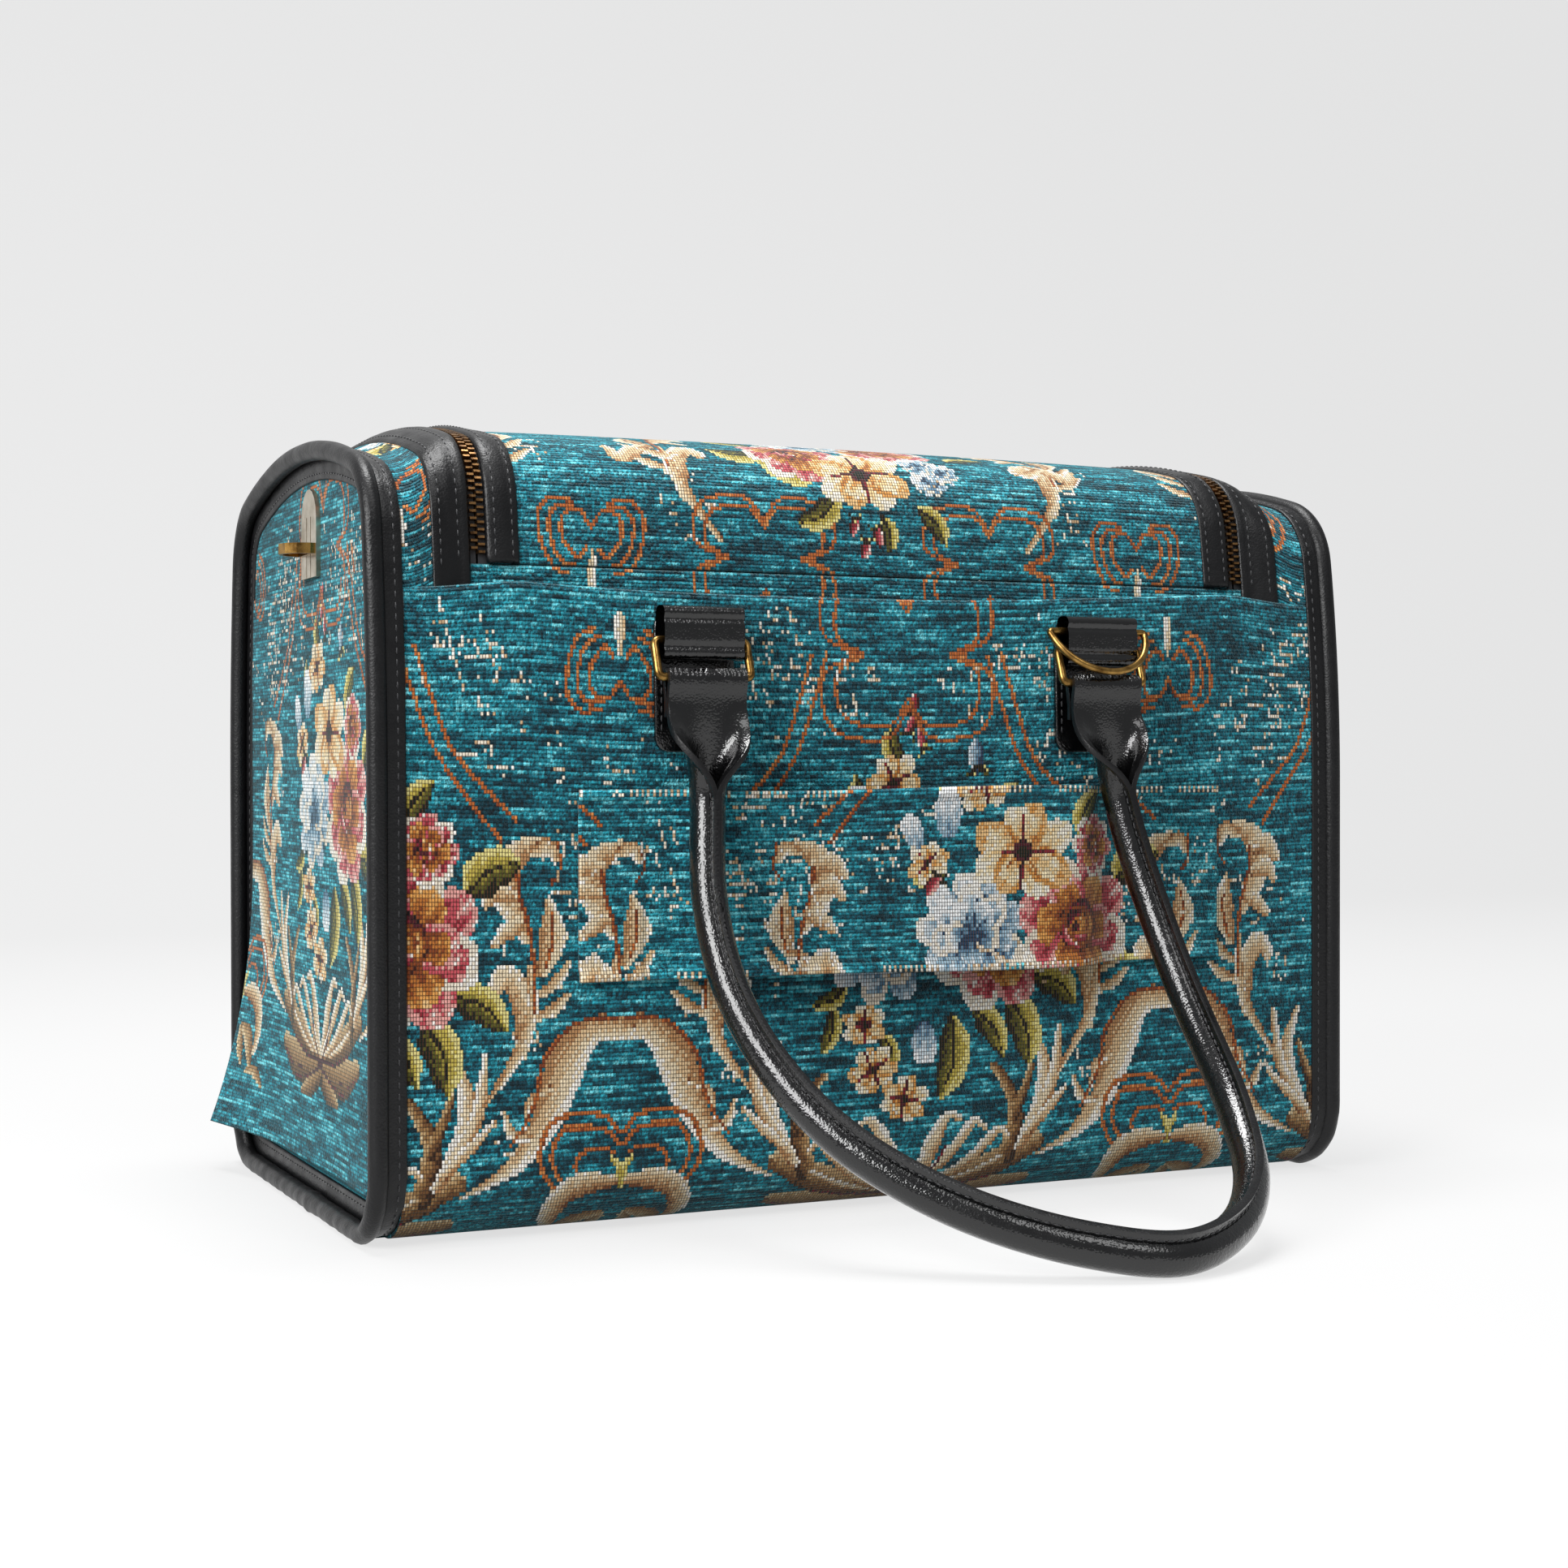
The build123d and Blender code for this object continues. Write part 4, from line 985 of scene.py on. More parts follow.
def cut_out(piece, unwanted):
    """Deletes the faces of a piece whose middle points are unwanted."""
    form = bmesh.new()
    form.from_mesh(piece.data)
    faces = [face for face in form.faces if unwanted(face.calc_center_median())]
    bmesh.ops.delete(form, geom=faces, context="FACES")
    form.to_mesh(piece.data)
    form.free()


def thicken(piece, thickness, lining=None):
    """Gives a sheet a thickness inward, with the lining's finish on its inner face."""
    wall = piece.modifiers.new("thickness", "SOLIDIFY")
    wall.thickness = thickness * MM
    wall.offset = -1
    if lining:
        piece.data.materials.append(finish_of(lining))
        wall.material_offset = 1
    return piece


# The zip's middle line: it rises from the hinge, turns a corner, runs along the far side and back
ZIP_RISE = RUN_S - ZIP_CORNER - HINGE_S
ZIP_BEND = ZIP_CORNER * math.pi / 2
ZIP_LONG = 2 * (ZIP_RISE + ZIP_BEND) + 2 * (ZIP_X - ZIP_CORNER)


def zip_place(along, off):
    """Where a point of the zip lies on the skin, from its length along and its distance outward."""
    along = np.asarray(along, float)
    off = np.broadcast_to(np.asarray(off, float), along.shape)
    left = along <= ZIP_LONG / 2
    from_end = np.where(left, along, ZIP_LONG - along)
    turn = np.clip((from_end - ZIP_RISE) / ZIP_CORNER, 0, math.pi / 2)
    radius = ZIP_CORNER + off
    straight = np.minimum(from_end - ZIP_RISE, 0)
    x = -(ZIP_X - ZIP_CORNER) - radius * np.cos(turn) + np.maximum(from_end - ZIP_RISE - ZIP_BEND, 0)
    s = RUN_S - ZIP_CORNER + radius * np.sin(turn) + straight
    return np.where(left, x, -x), s


def zip_point(along, off, lift):
    """Points beside the zip, lifted off the skin."""
    x, s = zip_place(along, off)
    return BODY.at(x, s, lift)


def zip_strip(name, profile, finish, start_extra=0.0):
    """A band along the zip, swept from a profile of distances outward and lifts."""
    profile = np.array(profile, float)
    position = np.linspace(0, 1, len(profile))

    def place(u, v):
        along = -start_extra + v * (ZIP_LONG + 2 * start_extra)
        off = np.interp(u, position, profile[:, 0])
        lift = np.interp(u, position, profile[:, 1])
        return zip_point(along, off, lift)

    form = grid_form(len(profile) - 1, BAND_STEPS, place, outward=(0, 0, 1))
    return place_object(name, form, finish)


def stitch_frames(point_at, normal_at, length, pitch, lift=0.0):
    """Places along a line for one stitch each: a matrix whose x axis runs along the line."""
    count = max(1, int(length / pitch))
    middle = (np.arange(count) + 0.5) * length / count
    points, ahead = point_at(middle), point_at(middle + 0.5)
    normals = normal_at(middle)
    for point, further, normal in zip(points, ahead, normals):
        x_axis = Vector(further - point).normalized()
        z_axis = Vector(normal).normalized()
        y_axis = z_axis.cross(x_axis).normalized()
        z_axis = x_axis.cross(y_axis)
        matrix = Matrix((x_axis, y_axis, z_axis)).transposed().to_4x4()
        matrix.translation = Vector(point + np.array(z_axis) * lift) * MM
        yield matrix


def sew(form, frames):
    """Adds one small rounded stitch at each place."""
    long, wide = size_of("stitch_long"), size_of("stitch_wide")
    for matrix in frames:
        size = Matrix.Diagonal((long / 2 * MM, wide / 2 * MM, STITCH_HIGH / 2 * MM, 1.0))
        bmesh.ops.create_icosphere(form, subdivisions=1, radius=1.0, matrix=matrix @ size)


def zip_frames(off, lift, pitch, start=2.0, phase=0.0):
    """Places along the zip for stitches or teeth, at a distance outward and a lift."""
    def point_at(t):
        return zip_point(start + phase + t, off, lift)

    def normal_at(t):
        x, s = zip_place(start + phase + t, off)
        return BODY.outward(x, s)

    return stitch_frames(point_at, normal_at, ZIP_LONG - 2 * start, pitch)


# Cloth of the body


def build_pocket():
    """The near slip pocket with its slack hem turned over inside."""
    under_base, turned_in, wall = 18.0, 18.0, 268.0
    hem_x = np.array([-FLANGE_X, -120, -44, 40, 120, FLANGE_X])
    hem_z = np.array([263, 258.5, 257.5, 258.5, 262, 267])
    hem_line, _ = curve_through(np.stack([hem_x, hem_z], 1), 60)
    long = wall + turned_in

    def hem_at(x):
        height = np.interp(x, hem_line[:, 0], hem_line[:, 1])
        return np.interp(height, POCKET.middle[:60, 1], POCKET.run[:60])

    def place(u, v):
        x = (2 * u - 1) * (FLANGE_X + 1)
        top = hem_at(x)
        rows = v * long
        s = -under_base + (top + under_base) * np.minimum(rows / wall, 1)
        past = np.clip(rows - wall, 0, None)
        turn = np.clip(past / 4.0, 0, 1) * math.pi
        slack = np.clip(1 - np.abs(x) / 170, 0, 1)
        wave = size_of("hem_slack") * slack * np.sin(x / 31 + s / 70) * smooth(s / 160)
        lift = 0.2 + wave + 1.2 * (np.cos(turn) - 1)
        s = s + 1.2 * np.sin(turn) - np.clip(past - 4, 0, None)
        points = POCKET.at(x, np.clip(s, 0, None), lift)
        under = np.clip(-s, 0, None)
        points[:, 1] += under
        return points

    size = 2 * (FLANGE_X + 1), long
    piece = cloth_piece("pocket_cloth", size, (-FLANGE_X - 1, BASE_CORNER * 0.4 - under_base), place,
                        wall_picture, (0, -1, 0))
    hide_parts("near_pocket")
    return piece


def build_lid():
    """The lid's cloth, padded a little between its bands."""
    start, end = HINGE_S + 0.25, RUN_S - ZIP_EDGE
    long = end - start

    def place(u, v):
        s = start + v * long
        to_end = np.clip((s - (RUN_S - ZIP_CORNER)) / ZIP_CORNER, 0, 0.99)
        half = ZIP_X - ZIP_CORNER + np.sqrt(1 - to_end**2) * (ZIP_CORNER - ZIP_EDGE)
        x = (2 * u - 1) * half
        pad = np.sin(math.pi * u) ** 0.5 * np.sin(math.pi * np.clip(v, 0, 1)) ** 0.6
        return BODY.at(x, s, 0.2 + size_of("lid_padding") * pad)

    piece = cloth_piece("lid_cloth", (2 * (ZIP_X - ZIP_EDGE), long), (ZIP_EDGE - ZIP_X, 0), place,
                        lid_picture, (0, 0, 1), 2.0)
    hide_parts("lid_panel")
    return piece


def build_body():
    """The body's cloth: a strip beside each end of the lid, the far wall, and the plain rest."""
    whole, gauge = BODY.run[-1], size_of("cloth_gauge")
    pieces = []
    strip = FLANGE_X + 1 - (ZIP_X + ZIP_EDGE)
    for side, name in ((LEFT, "left_shoulder_cloth"), (RIGHT, "right_shoulder_cloth")):
        inner = ZIP_X + ZIP_EDGE
        start_x = inner if side == RIGHT else -inner - strip

        def place(u, v):
            return BODY.at(start_x + u * strip, v * whole, 0.15)

        pieces.append(cloth_piece(name, (strip, whole), (start_x, 0), place, strip_picture,
                                  (0, 0, 1), gauge))
    start = RUN_S + ZIP_EDGE
    half = ZIP_X + ZIP_EDGE

    def far_place(u, v):
        return BODY.at((1 - 2 * u) * half, whole - v * (whole - start), 0.15)

    far_wall = cloth_piece("far_wall_cloth", (2 * half, whole - start), (-half, 0), far_place,
                           wall_picture, (0, 1, 0), gauge)
    drop = 36.0

    def hinge_place(u, v):
        return BODY.at((2 * u - 1) * half, HINGE_S - 0.25 - drop * (1 - v), 0.15)

    pieces.append(cloth_piece("hinge_cloth", (2 * half, drop), (-half, -drop), hinge_place,
                              lid_picture, (0, -1, 0), gauge))
    low, high = (np.array(corner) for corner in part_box("far_mesh_window"))
    cut_out(far_wall, lambda spot: in_window(spot, low, high))
    pieces.append(far_wall)

    def base_place(u, v):
        x = (2 * u - 1) * (RIM_X - 1)
        far_edge = HALF_DEPTH - BASE_CORNER
        near_edge = -(HALF_DEPTH - POCKET_DEPTH * (np.abs(x) < BLEND_X) - BASE_CORNER)
        y = near_edge + v * (far_edge - near_edge)
        return np.stack([x, y, np.full_like(x, BASE - 0.1)], 1)

    base = grid_form(40, 20, base_place, outward=(0, 0, -1))
    base = thicken(place_object("base_cloth", base, "plain"), gauge, "lining")

    def inner_wall(u, v):
        return BODY.at((2 * u - 1) * half, v * (HINGE_S - drop), 0.1)

    near_wall = grid_form(60, 40, inner_wall, outward=(0, -1, 0))
    near_wall = thicken(place_object("near_wall_cloth", near_wall, "plain"), gauge, "lining")
    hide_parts("body_shell")
    return pieces + [base, near_wall]


def in_window(point, low, high):
    """True where a point of the far wall lies in its window, whose corners are rounded off."""
    radius = WINDOW_CORNER * MM
    dx = max(low[0] + radius - point.x, point.x - (high[0] - radius), 0)
    dz = max(low[2] + radius - point.z, point.z - (high[2] - radius), 0)
    return low[0] < point.x < high[0] and low[2] < point.z < high[2] and math.hypot(dx, dz) <= radius


def build_sleeve():
    """The trolley sleeve, sewn flat at both ends and standing off between them."""
    low, high = millimetres("trolley_sleeve")
    wide, long = high[0] - low[0], high[2] - low[2]
    half_open, slope = 80.0, 26.0
    stand = -low[1] - HALF_DEPTH - 1.7

    def bulge(x):
        return stand * smooth((half_open + slope - np.abs(x)) / slope)

    def place(u, v):
        x = low[0] + u * wide
        z = low[2] + v * long
        ease = bulge(x) / stand
        z = z + ease * (0.9 * np.sin(x / 37) * (2 * v - 1))
        hem = 1.2 * np.exp(-((np.minimum(v, 1 - v) * long / 5) ** 6)) - 0.4 * np.exp(
            -(((np.minimum(v, 1 - v) * long - 6.4) / 0.9) ** 2))
        seam = 0.9 * np.exp(-(((x + 115) / 1.6) ** 2))
        y = -(HALF_DEPTH + 1.8 + bulge(x) - 0.8 * ease * np.cos((v - 0.5) * math.pi) + hem - seam)
        return np.stack([x, y, z], 1)

    piece = cloth_piece("sleeve_cloth", (wide, long), (low[0], low[2]), place, sleeve_picture,
                        (0, -1, 0), 1.4)
    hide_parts("trolley_sleeve")
    return piece


def build_curtains():
    """A curtain over each end window, its far lower corner kicked out."""
    made = []
    for side, name in ((LEFT, "left_end_curtain"), (RIGHT, "right_end_curtain")):
        low, high = millimetres(name)
        half, top, hem = 107.0, high[2], low[2]
        kick = size_of("curtain_kick")
        face = min(abs(low[0]), abs(high[0]))

        def place(u, v):
            fall = 1 - v
            across = 2 * u - 1
            lift = np.clip(fall - 0.5, 0, None) ** 2 / 0.25
            flare = kick * lift * np.clip((side * across + 0.3) / 1.3, 0, None) ** 3
            ripple = 0.5 * np.sin(across * 7 + 1.5) * fall
            x = face + 1.0 + 3.2 * fall**6 + flare + ripple * fall
            y = side * across * (half - 3 * np.clip(1 - fall / 0.15, 0, None))
            z = top - fall * (top - hem) + 2.4 * flare / kick
            return np.stack([side * x, y, z], 1)

        piece = cloth_piece(name.replace("end_curtain", "curtain_cloth"), (2 * half, top - hem),
                            (-half, hem), place, curtain_picture, (side, 0, 0), 1.2)
        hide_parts(name)
        made.append(piece)
    return made


def build_end_cloths():
    """The tapestry on each end panel above its curtain, trimmed under the welt."""
    made = []
    low, high = 252.0, END_CROWN
    rim = loaf_outline(END_CROWN - 8)
    for side, name in ((LEFT, "left_end_cloth"), (RIGHT, "right_end_cloth")):
        def place(u, v):
            y = side * (2 * u - 1) * HALF_DEPTH
            return np.stack([np.full_like(y, side * (RIM_X - 0.02)), y, low + v * (high - low)], 1)

        piece = cloth_piece(name, (2 * HALF_DEPTH, high - low), (-HALF_DEPTH, low), place,
                            curtain_picture, (side, 0, 0))
        cut_out(piece, lambda spot: abs(spot.y) / MM > edge_of(rim, spot.z / MM))
        made.append(piece)
    return made


def edge_of(rim, height):
    """How far from the middle an outline reaches at a height, less the width of the seam."""
    top = int(np.argmax(rim[:, 1]))
    far_side = rim[top:][::-1]
    return float(np.interp(height, far_side[:, 1], far_side[:, 0], right=-1)) - 8


# Leather trim


def build_zip():
    """Leather bands on both sides of the zip with their stitches, and its chain of teeth."""
    lid_band = zip_strip("lid_band", [
        (-ZIP_EDGE - LID_BAND, -0.3), (-ZIP_EDGE - LID_BAND - 0.2, 0.9), (-ZIP_EDGE - LID_BAND + 0.6, 1.5),
        (-14.5, 1.3), (-12.5, 1.9), (-9.5, 2.3), (-6.5, 2.5), (-4.4, 2.1), (-3.4, 1.1), (-3.8, -0.4)],
        "trim")
    body_band = zip_strip("body_band", [
        (3.7, -0.4), (3.2, 0.9), (4.2, 1.6), (6.4, 1.7), (8.4, 1.35), (10.5, 1.9), (13.5, 1.9),
        (16.4, 1.3), (ZIP_EDGE + BODY_BAND - 0.8, 1.5), (ZIP_EDGE + BODY_BAND, 0.8),
        (ZIP_EDGE + BODY_BAND, -0.3)], "trim", 14.0)
    for band in (lid_band, body_band):
        thicken(band, 0.6)
    lid_seams, body_seams = bmesh.new(), bmesh.new()
    for off, lift in ((-14.5, 1.5), (-6.8, 2.6)):
        sew(lid_seams, zip_frames(off, lift, size_of("band_stitch")))
    for off, lift in ((8.4, 1.5), (16.4, 1.5)):
        sew(body_seams, zip_frames(off, lift, size_of("band_stitch")))
    lid_seams = place_object("lid_band_stitches", lid_seams, "thread")
    body_seams = place_object("body_band_stitches", body_seams, "thread")
    lid_teeth, body_teeth = bmesh.new(), bmesh.new()
    pitch = size_of("tooth_pitch")
    for form, side, phase in ((lid_teeth, -1, 0.0), (body_teeth, 1, pitch / 2)):
        for matrix in zip_frames(side * 1.5, 0.2, pitch, 3.0, phase):
            size = Matrix.Diagonal((1.35 * MM, 3.4 * MM, 2.4 * MM, 1.0))
            cube = bmesh.ops.create_cube(form, size=1.0, matrix=matrix @ size)
            top = [v for v in cube["verts"] if (matrix.inverted() @ v.co).z > 0]
            bmesh.ops.scale(form, verts=top, vec=(0.72, 0.8, 1), space=matrix.inverted())
    lid_teeth = place_object("lid_zip_teeth", lid_teeth, "bronze", False)
    body_teeth = place_object("body_zip_teeth", body_teeth, "bronze", False)
    tapes = [zip_strip("lid_zip_tape", [(-5.0, -0.9), (-0.4, -0.9)], "thread"),
             zip_strip("body_zip_tape", [(0.4, -0.9), (5.0, -0.9)], "thread")]
    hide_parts("lid_zip_band")
    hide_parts("body_zip_band")
    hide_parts("lid_zip_half")
    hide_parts("body_zip_half")
    return [lid_band, lid_seams, lid_teeth, tapes[0]], [body_band, body_seams, body_teeth, tapes[1]]


def rim_loop():
    """The closed path of the piping round an end, in y and z, and its outward directions."""
    base = RIM_LOW[2] + PIPE_RADIUS - 0.4
    outline = loaf_outline(END_CROWN, base=base)
    loop = np.concatenate([outline, outline[:1]])
    steps = np.hypot(*np.diff(loop, axis=0).T)
    run = np.concatenate([[0.0], np.cumsum(steps)])
    even = np.linspace(0, run[-1], 421)
    loop = np.stack([np.interp(even, run, loop[:, axis]) for axis in (0, 1)], 1)
    ahead = np.roll(loop[:-1], -1, 0) - np.roll(loop[:-1], 1, 0)
    normal = np.stack([-ahead[:, 1], ahead[:, 0]], 1)
    normal /= np.linalg.norm(normal, axis=1)[:, None]
    normal = np.concatenate([normal, normal[:1]])
    return even, loop, normal


def build_piping():
    """The welt round each end: its tube, the flange on the body and the one on the panel."""
    run, loop, normal = rim_loop()
    length = run[-1]
    overlap = length * 0.93

    def rim_at(t):
        t = np.mod(t, length)
        point = np.stack([np.interp(t, run, loop[:, axis]) for axis in (0, 1)], 1)
        out = np.stack([np.interp(t, run, normal[:, axis]) for axis in (0, 1)], 1)
        return point, out

    def pucker(t):
        low = smooth((40 - rim_at(t)[0][:, 1]) / 30)
        return low * (0.35 * np.sin(t / 2.1) + 0.25 * np.sin(t / 3.7 + 1))

    def placed(t, x, off, side):
        point, out = rim_at(t)
        spot = point + out * np.broadcast_to(off, t.shape)[:, None]
        on_floor = np.maximum(spot[:, 1], 0.0)
        return np.stack([side * np.broadcast_to(x, t.shape), spot[:, 0], on_floor], 1)

    made = []
    for side, name in ((LEFT, "left_piping"), (RIGHT, "right_piping")):
        def tube(u, v):
            t, turn = v * length, u * 2 * math.pi
            radius = PIPE_RADIUS - 0.15 + 0.3 * pucker(t)
            radius = radius + 0.7 * np.exp(-((t - overlap) / 5) ** 2)
            return placed(t, PIPE_X + radius * np.cos(turn), radius * np.sin(turn), side)

        body_line = np.array([(FLANGE_X + 0.1, -0.2), (FLANGE_X, 0.8), (FLANGE_X + 0.6, 1.35),
                              (FLANGE_X + 3.2, 1.0), (FLANGE_X + 5.5, 1.5), (RIM_X, 1.6), (PIPE_X, 1.4)])
        panel_line = np.array([(RIM_X + 0.3, -1.0), (RIM_X + 1.6, -4.0), (RIM_X + 1.4, -7.4),
                               (RIM_X + 1.1, -9.2), (RIM_X + 1.4, -11.0), (RIM_X + 0.5, -11.8),
                               (RIM_X - 0.3, -11.7)])

        def flange(line):
            share = np.linspace(0, 1, len(line))

            def place(u, v):
                t = v * length
                x = np.interp(u, share, line[:, 0])
                off = np.interp(u, share, line[:, 1]) + 0.6 * pucker(t) * (line[0, 1] > -0.9)
                return placed(t, x, off, side)

            return place

        form = grid_form(14, 420, tube, closed_across=True, closed_along=True)
        for line in (body_line, panel_line):
            grid_form(len(line) - 1, 420, flange(line), closed_along=True, form=form)
        piece = place_object(name.replace("piping", "welt"), form, "trim")
        seams = bmesh.new()
        for x, off in ((FLANGE_X + 3.2, 1.2), (RIM_X + 1.3, -9.2)):
            def point_at(t):
                return placed(t, x, off, side)

            def normal_at(t):
                out = rim_at(t)[1]
                if off > 0:
                    return np.stack([np.zeros(len(t)), out[:, 0], out[:, 1]], 1)
                return np.tile([float(side), 0.0, 0.0], (len(t), 1))

            sew(seams, stitch_frames(point_at, normal_at, length, size_of("welt_stitch")))
        seams = place_object(name.replace("piping", "welt_stitches"), seams, "thread")
        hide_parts(name)
        made += [piece, seams]
    return made


# Handles, their tabs and rings

RING_WIRE, RING_DROP, RING_LEAN = 3.6, 16.0, math.radians(20)
D_WIRE, D_REACH, D_LEAN = 3.2, 22.0, math.radians(36)
TAB_WIDTH, TAB_THICKNESS, LOOP_DEPTH, LOOP_HEIGHT = 35.0, 2.5, 10.0, 22.0
HANDLE_BEND = 231.0
TAB_LOW, TAB_HIGH = millimetres("near_left_tab")
TAB_X = -(TAB_LOW[0] + TAB_HIGH[0]) / 2
TAB_TOP, TAB_BOTTOM = TAB_HIGH[2], TAB_LOW[2]
PIN_Y = HALF_DEPTH + TAB_THICKNESS + LOOP_DEPTH / 2 + 0.05
PIN_Z = TAB_TOP - 14.0
D_PIN_Z = TAB_TOP - 6.5
RING_HALF = TAB_WIDTH / 2 + 0.9 + RING_WIRE / 2
BAR_Y = PIN_Y + RING_DROP * math.sin(RING_LEAN)
BAR_Z = PIN_Z - RING_DROP * math.cos(RING_LEAN)


def rounded_loop(corners, radius, steps=5):
    """A closed line through corners that are rounded off."""
    corners = np.array(corners, float)
    line = []
    for before, here, after in zip(np.roll(corners, 1, 0), corners, np.roll(corners, -1, 0)):
        into, out = here - before, after - here
        into, out = into / np.linalg.norm(into), out / np.linalg.norm(out)
        start, end = here - into * radius, here + out * radius
        for t in np.linspace(0, 1, steps + 1):
            line.append((1 - t) ** 2 * start + 2 * t * (1 - t) * here + t**2 * end)
    return np.array(line)


def even_loop(loop, count):
    """A closed line with this many even steps, its first point repeated at the end."""
    loop = np.concatenate([loop, loop[:1]])
    run = np.concatenate([[0.0], np.cumsum(np.linalg.norm(np.diff(loop, axis=0), axis=1))])
    even = np.linspace(0, run[-1], count + 1)
    return np.stack([np.interp(even, run, loop[:, axis]) for axis in range(loop.shape[1])], 1)


def wire_form(line, wire):
    """Round wire bent along a closed line of points in space."""
    count = len(line)
    ahead = np.roll(line, -1, 0) - np.roll(line, 1, 0)
    ahead /= np.linalg.norm(ahead, axis=1)[:, None]
    middle = line.mean(0)
    flat_normal = np.cross(line[1] - line[0], line[count // 2] - middle)
    flat_normal /= np.linalg.norm(flat_normal)
    side = np.cross(ahead, flat_normal)

    def place(u, v):
        at = np.round(v * count).astype(int) % count
        turn = u * 2 * math.pi
        return (line[at] + wire / 2 * (np.cos(turn)[:, None] * side[at]
                                       + np.sin(turn)[:, None] * flat_normal))

    return grid_form(16, count, place, closed_across=True, closed_along=True)


def hung(flat, x, side, height, lean):
    """Points drawn flat, below a pin along x, hung from the pin at a lean away from the wall."""
    flat = np.asarray(flat, float)
    return np.stack([x + flat[:, 0], side * (PIN_Y - flat[:, 1] * math.sin(lean)),
                     height + flat[:, 1] * math.cos(lean)], 1)


def build_rings():
    """The bent-wire ring in each tab and the D-ring over the near right one."""
    made = {}
    square = rounded_loop([(-RING_HALF, 0), (-RING_HALF, -RING_DROP), (RING_HALF, -RING_DROP),
                           (RING_HALF, 0)], 2.6)
    for side, side_name in ((NEAR, "near"), (FAR, "far")):
        for end, end_name in ((LEFT, "left"), (RIGHT, "right")):
            node = f"{side_name}_{end_name}_ring"
            line = hung(square, end * TAB_X, side, PIN_Z, RING_LEAN)
            piece = place_object(node + "_wire", wire_form(line, size_of("ring_wire")), "brass")
            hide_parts(node)
            made[node] = piece
    half = RING_HALF + RING_WIRE / 2 + 0.4 + D_WIRE / 2
    bow_radius = (half**2 + D_REACH**2) / (2 * D_REACH)
    sweep = math.asin(min(1.0, half / bow_radius))
    sweep = math.pi - sweep if D_REACH > bow_radius else sweep
    turns = np.linspace(-sweep, sweep, 40)
    bow = np.stack([bow_radius * np.sin(turns), bow_radius - D_REACH - bow_radius * np.cos(turns)], 1)
    flat = np.concatenate([bow[1:-1], rounded_loop([(half, -3.0), (half, 0), (-half, 0), (-half, -3.0)],
                                                   1.6)[6:18]])
    line = hung(flat, TAB_X, NEAR, D_PIN_Z, D_LEAN)
    piece = place_object("d_ring_wire", wire_form(line, size_of("d_ring_wire")), "brass")
    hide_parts("d_ring")
    made["d_ring"] = piece
    return made


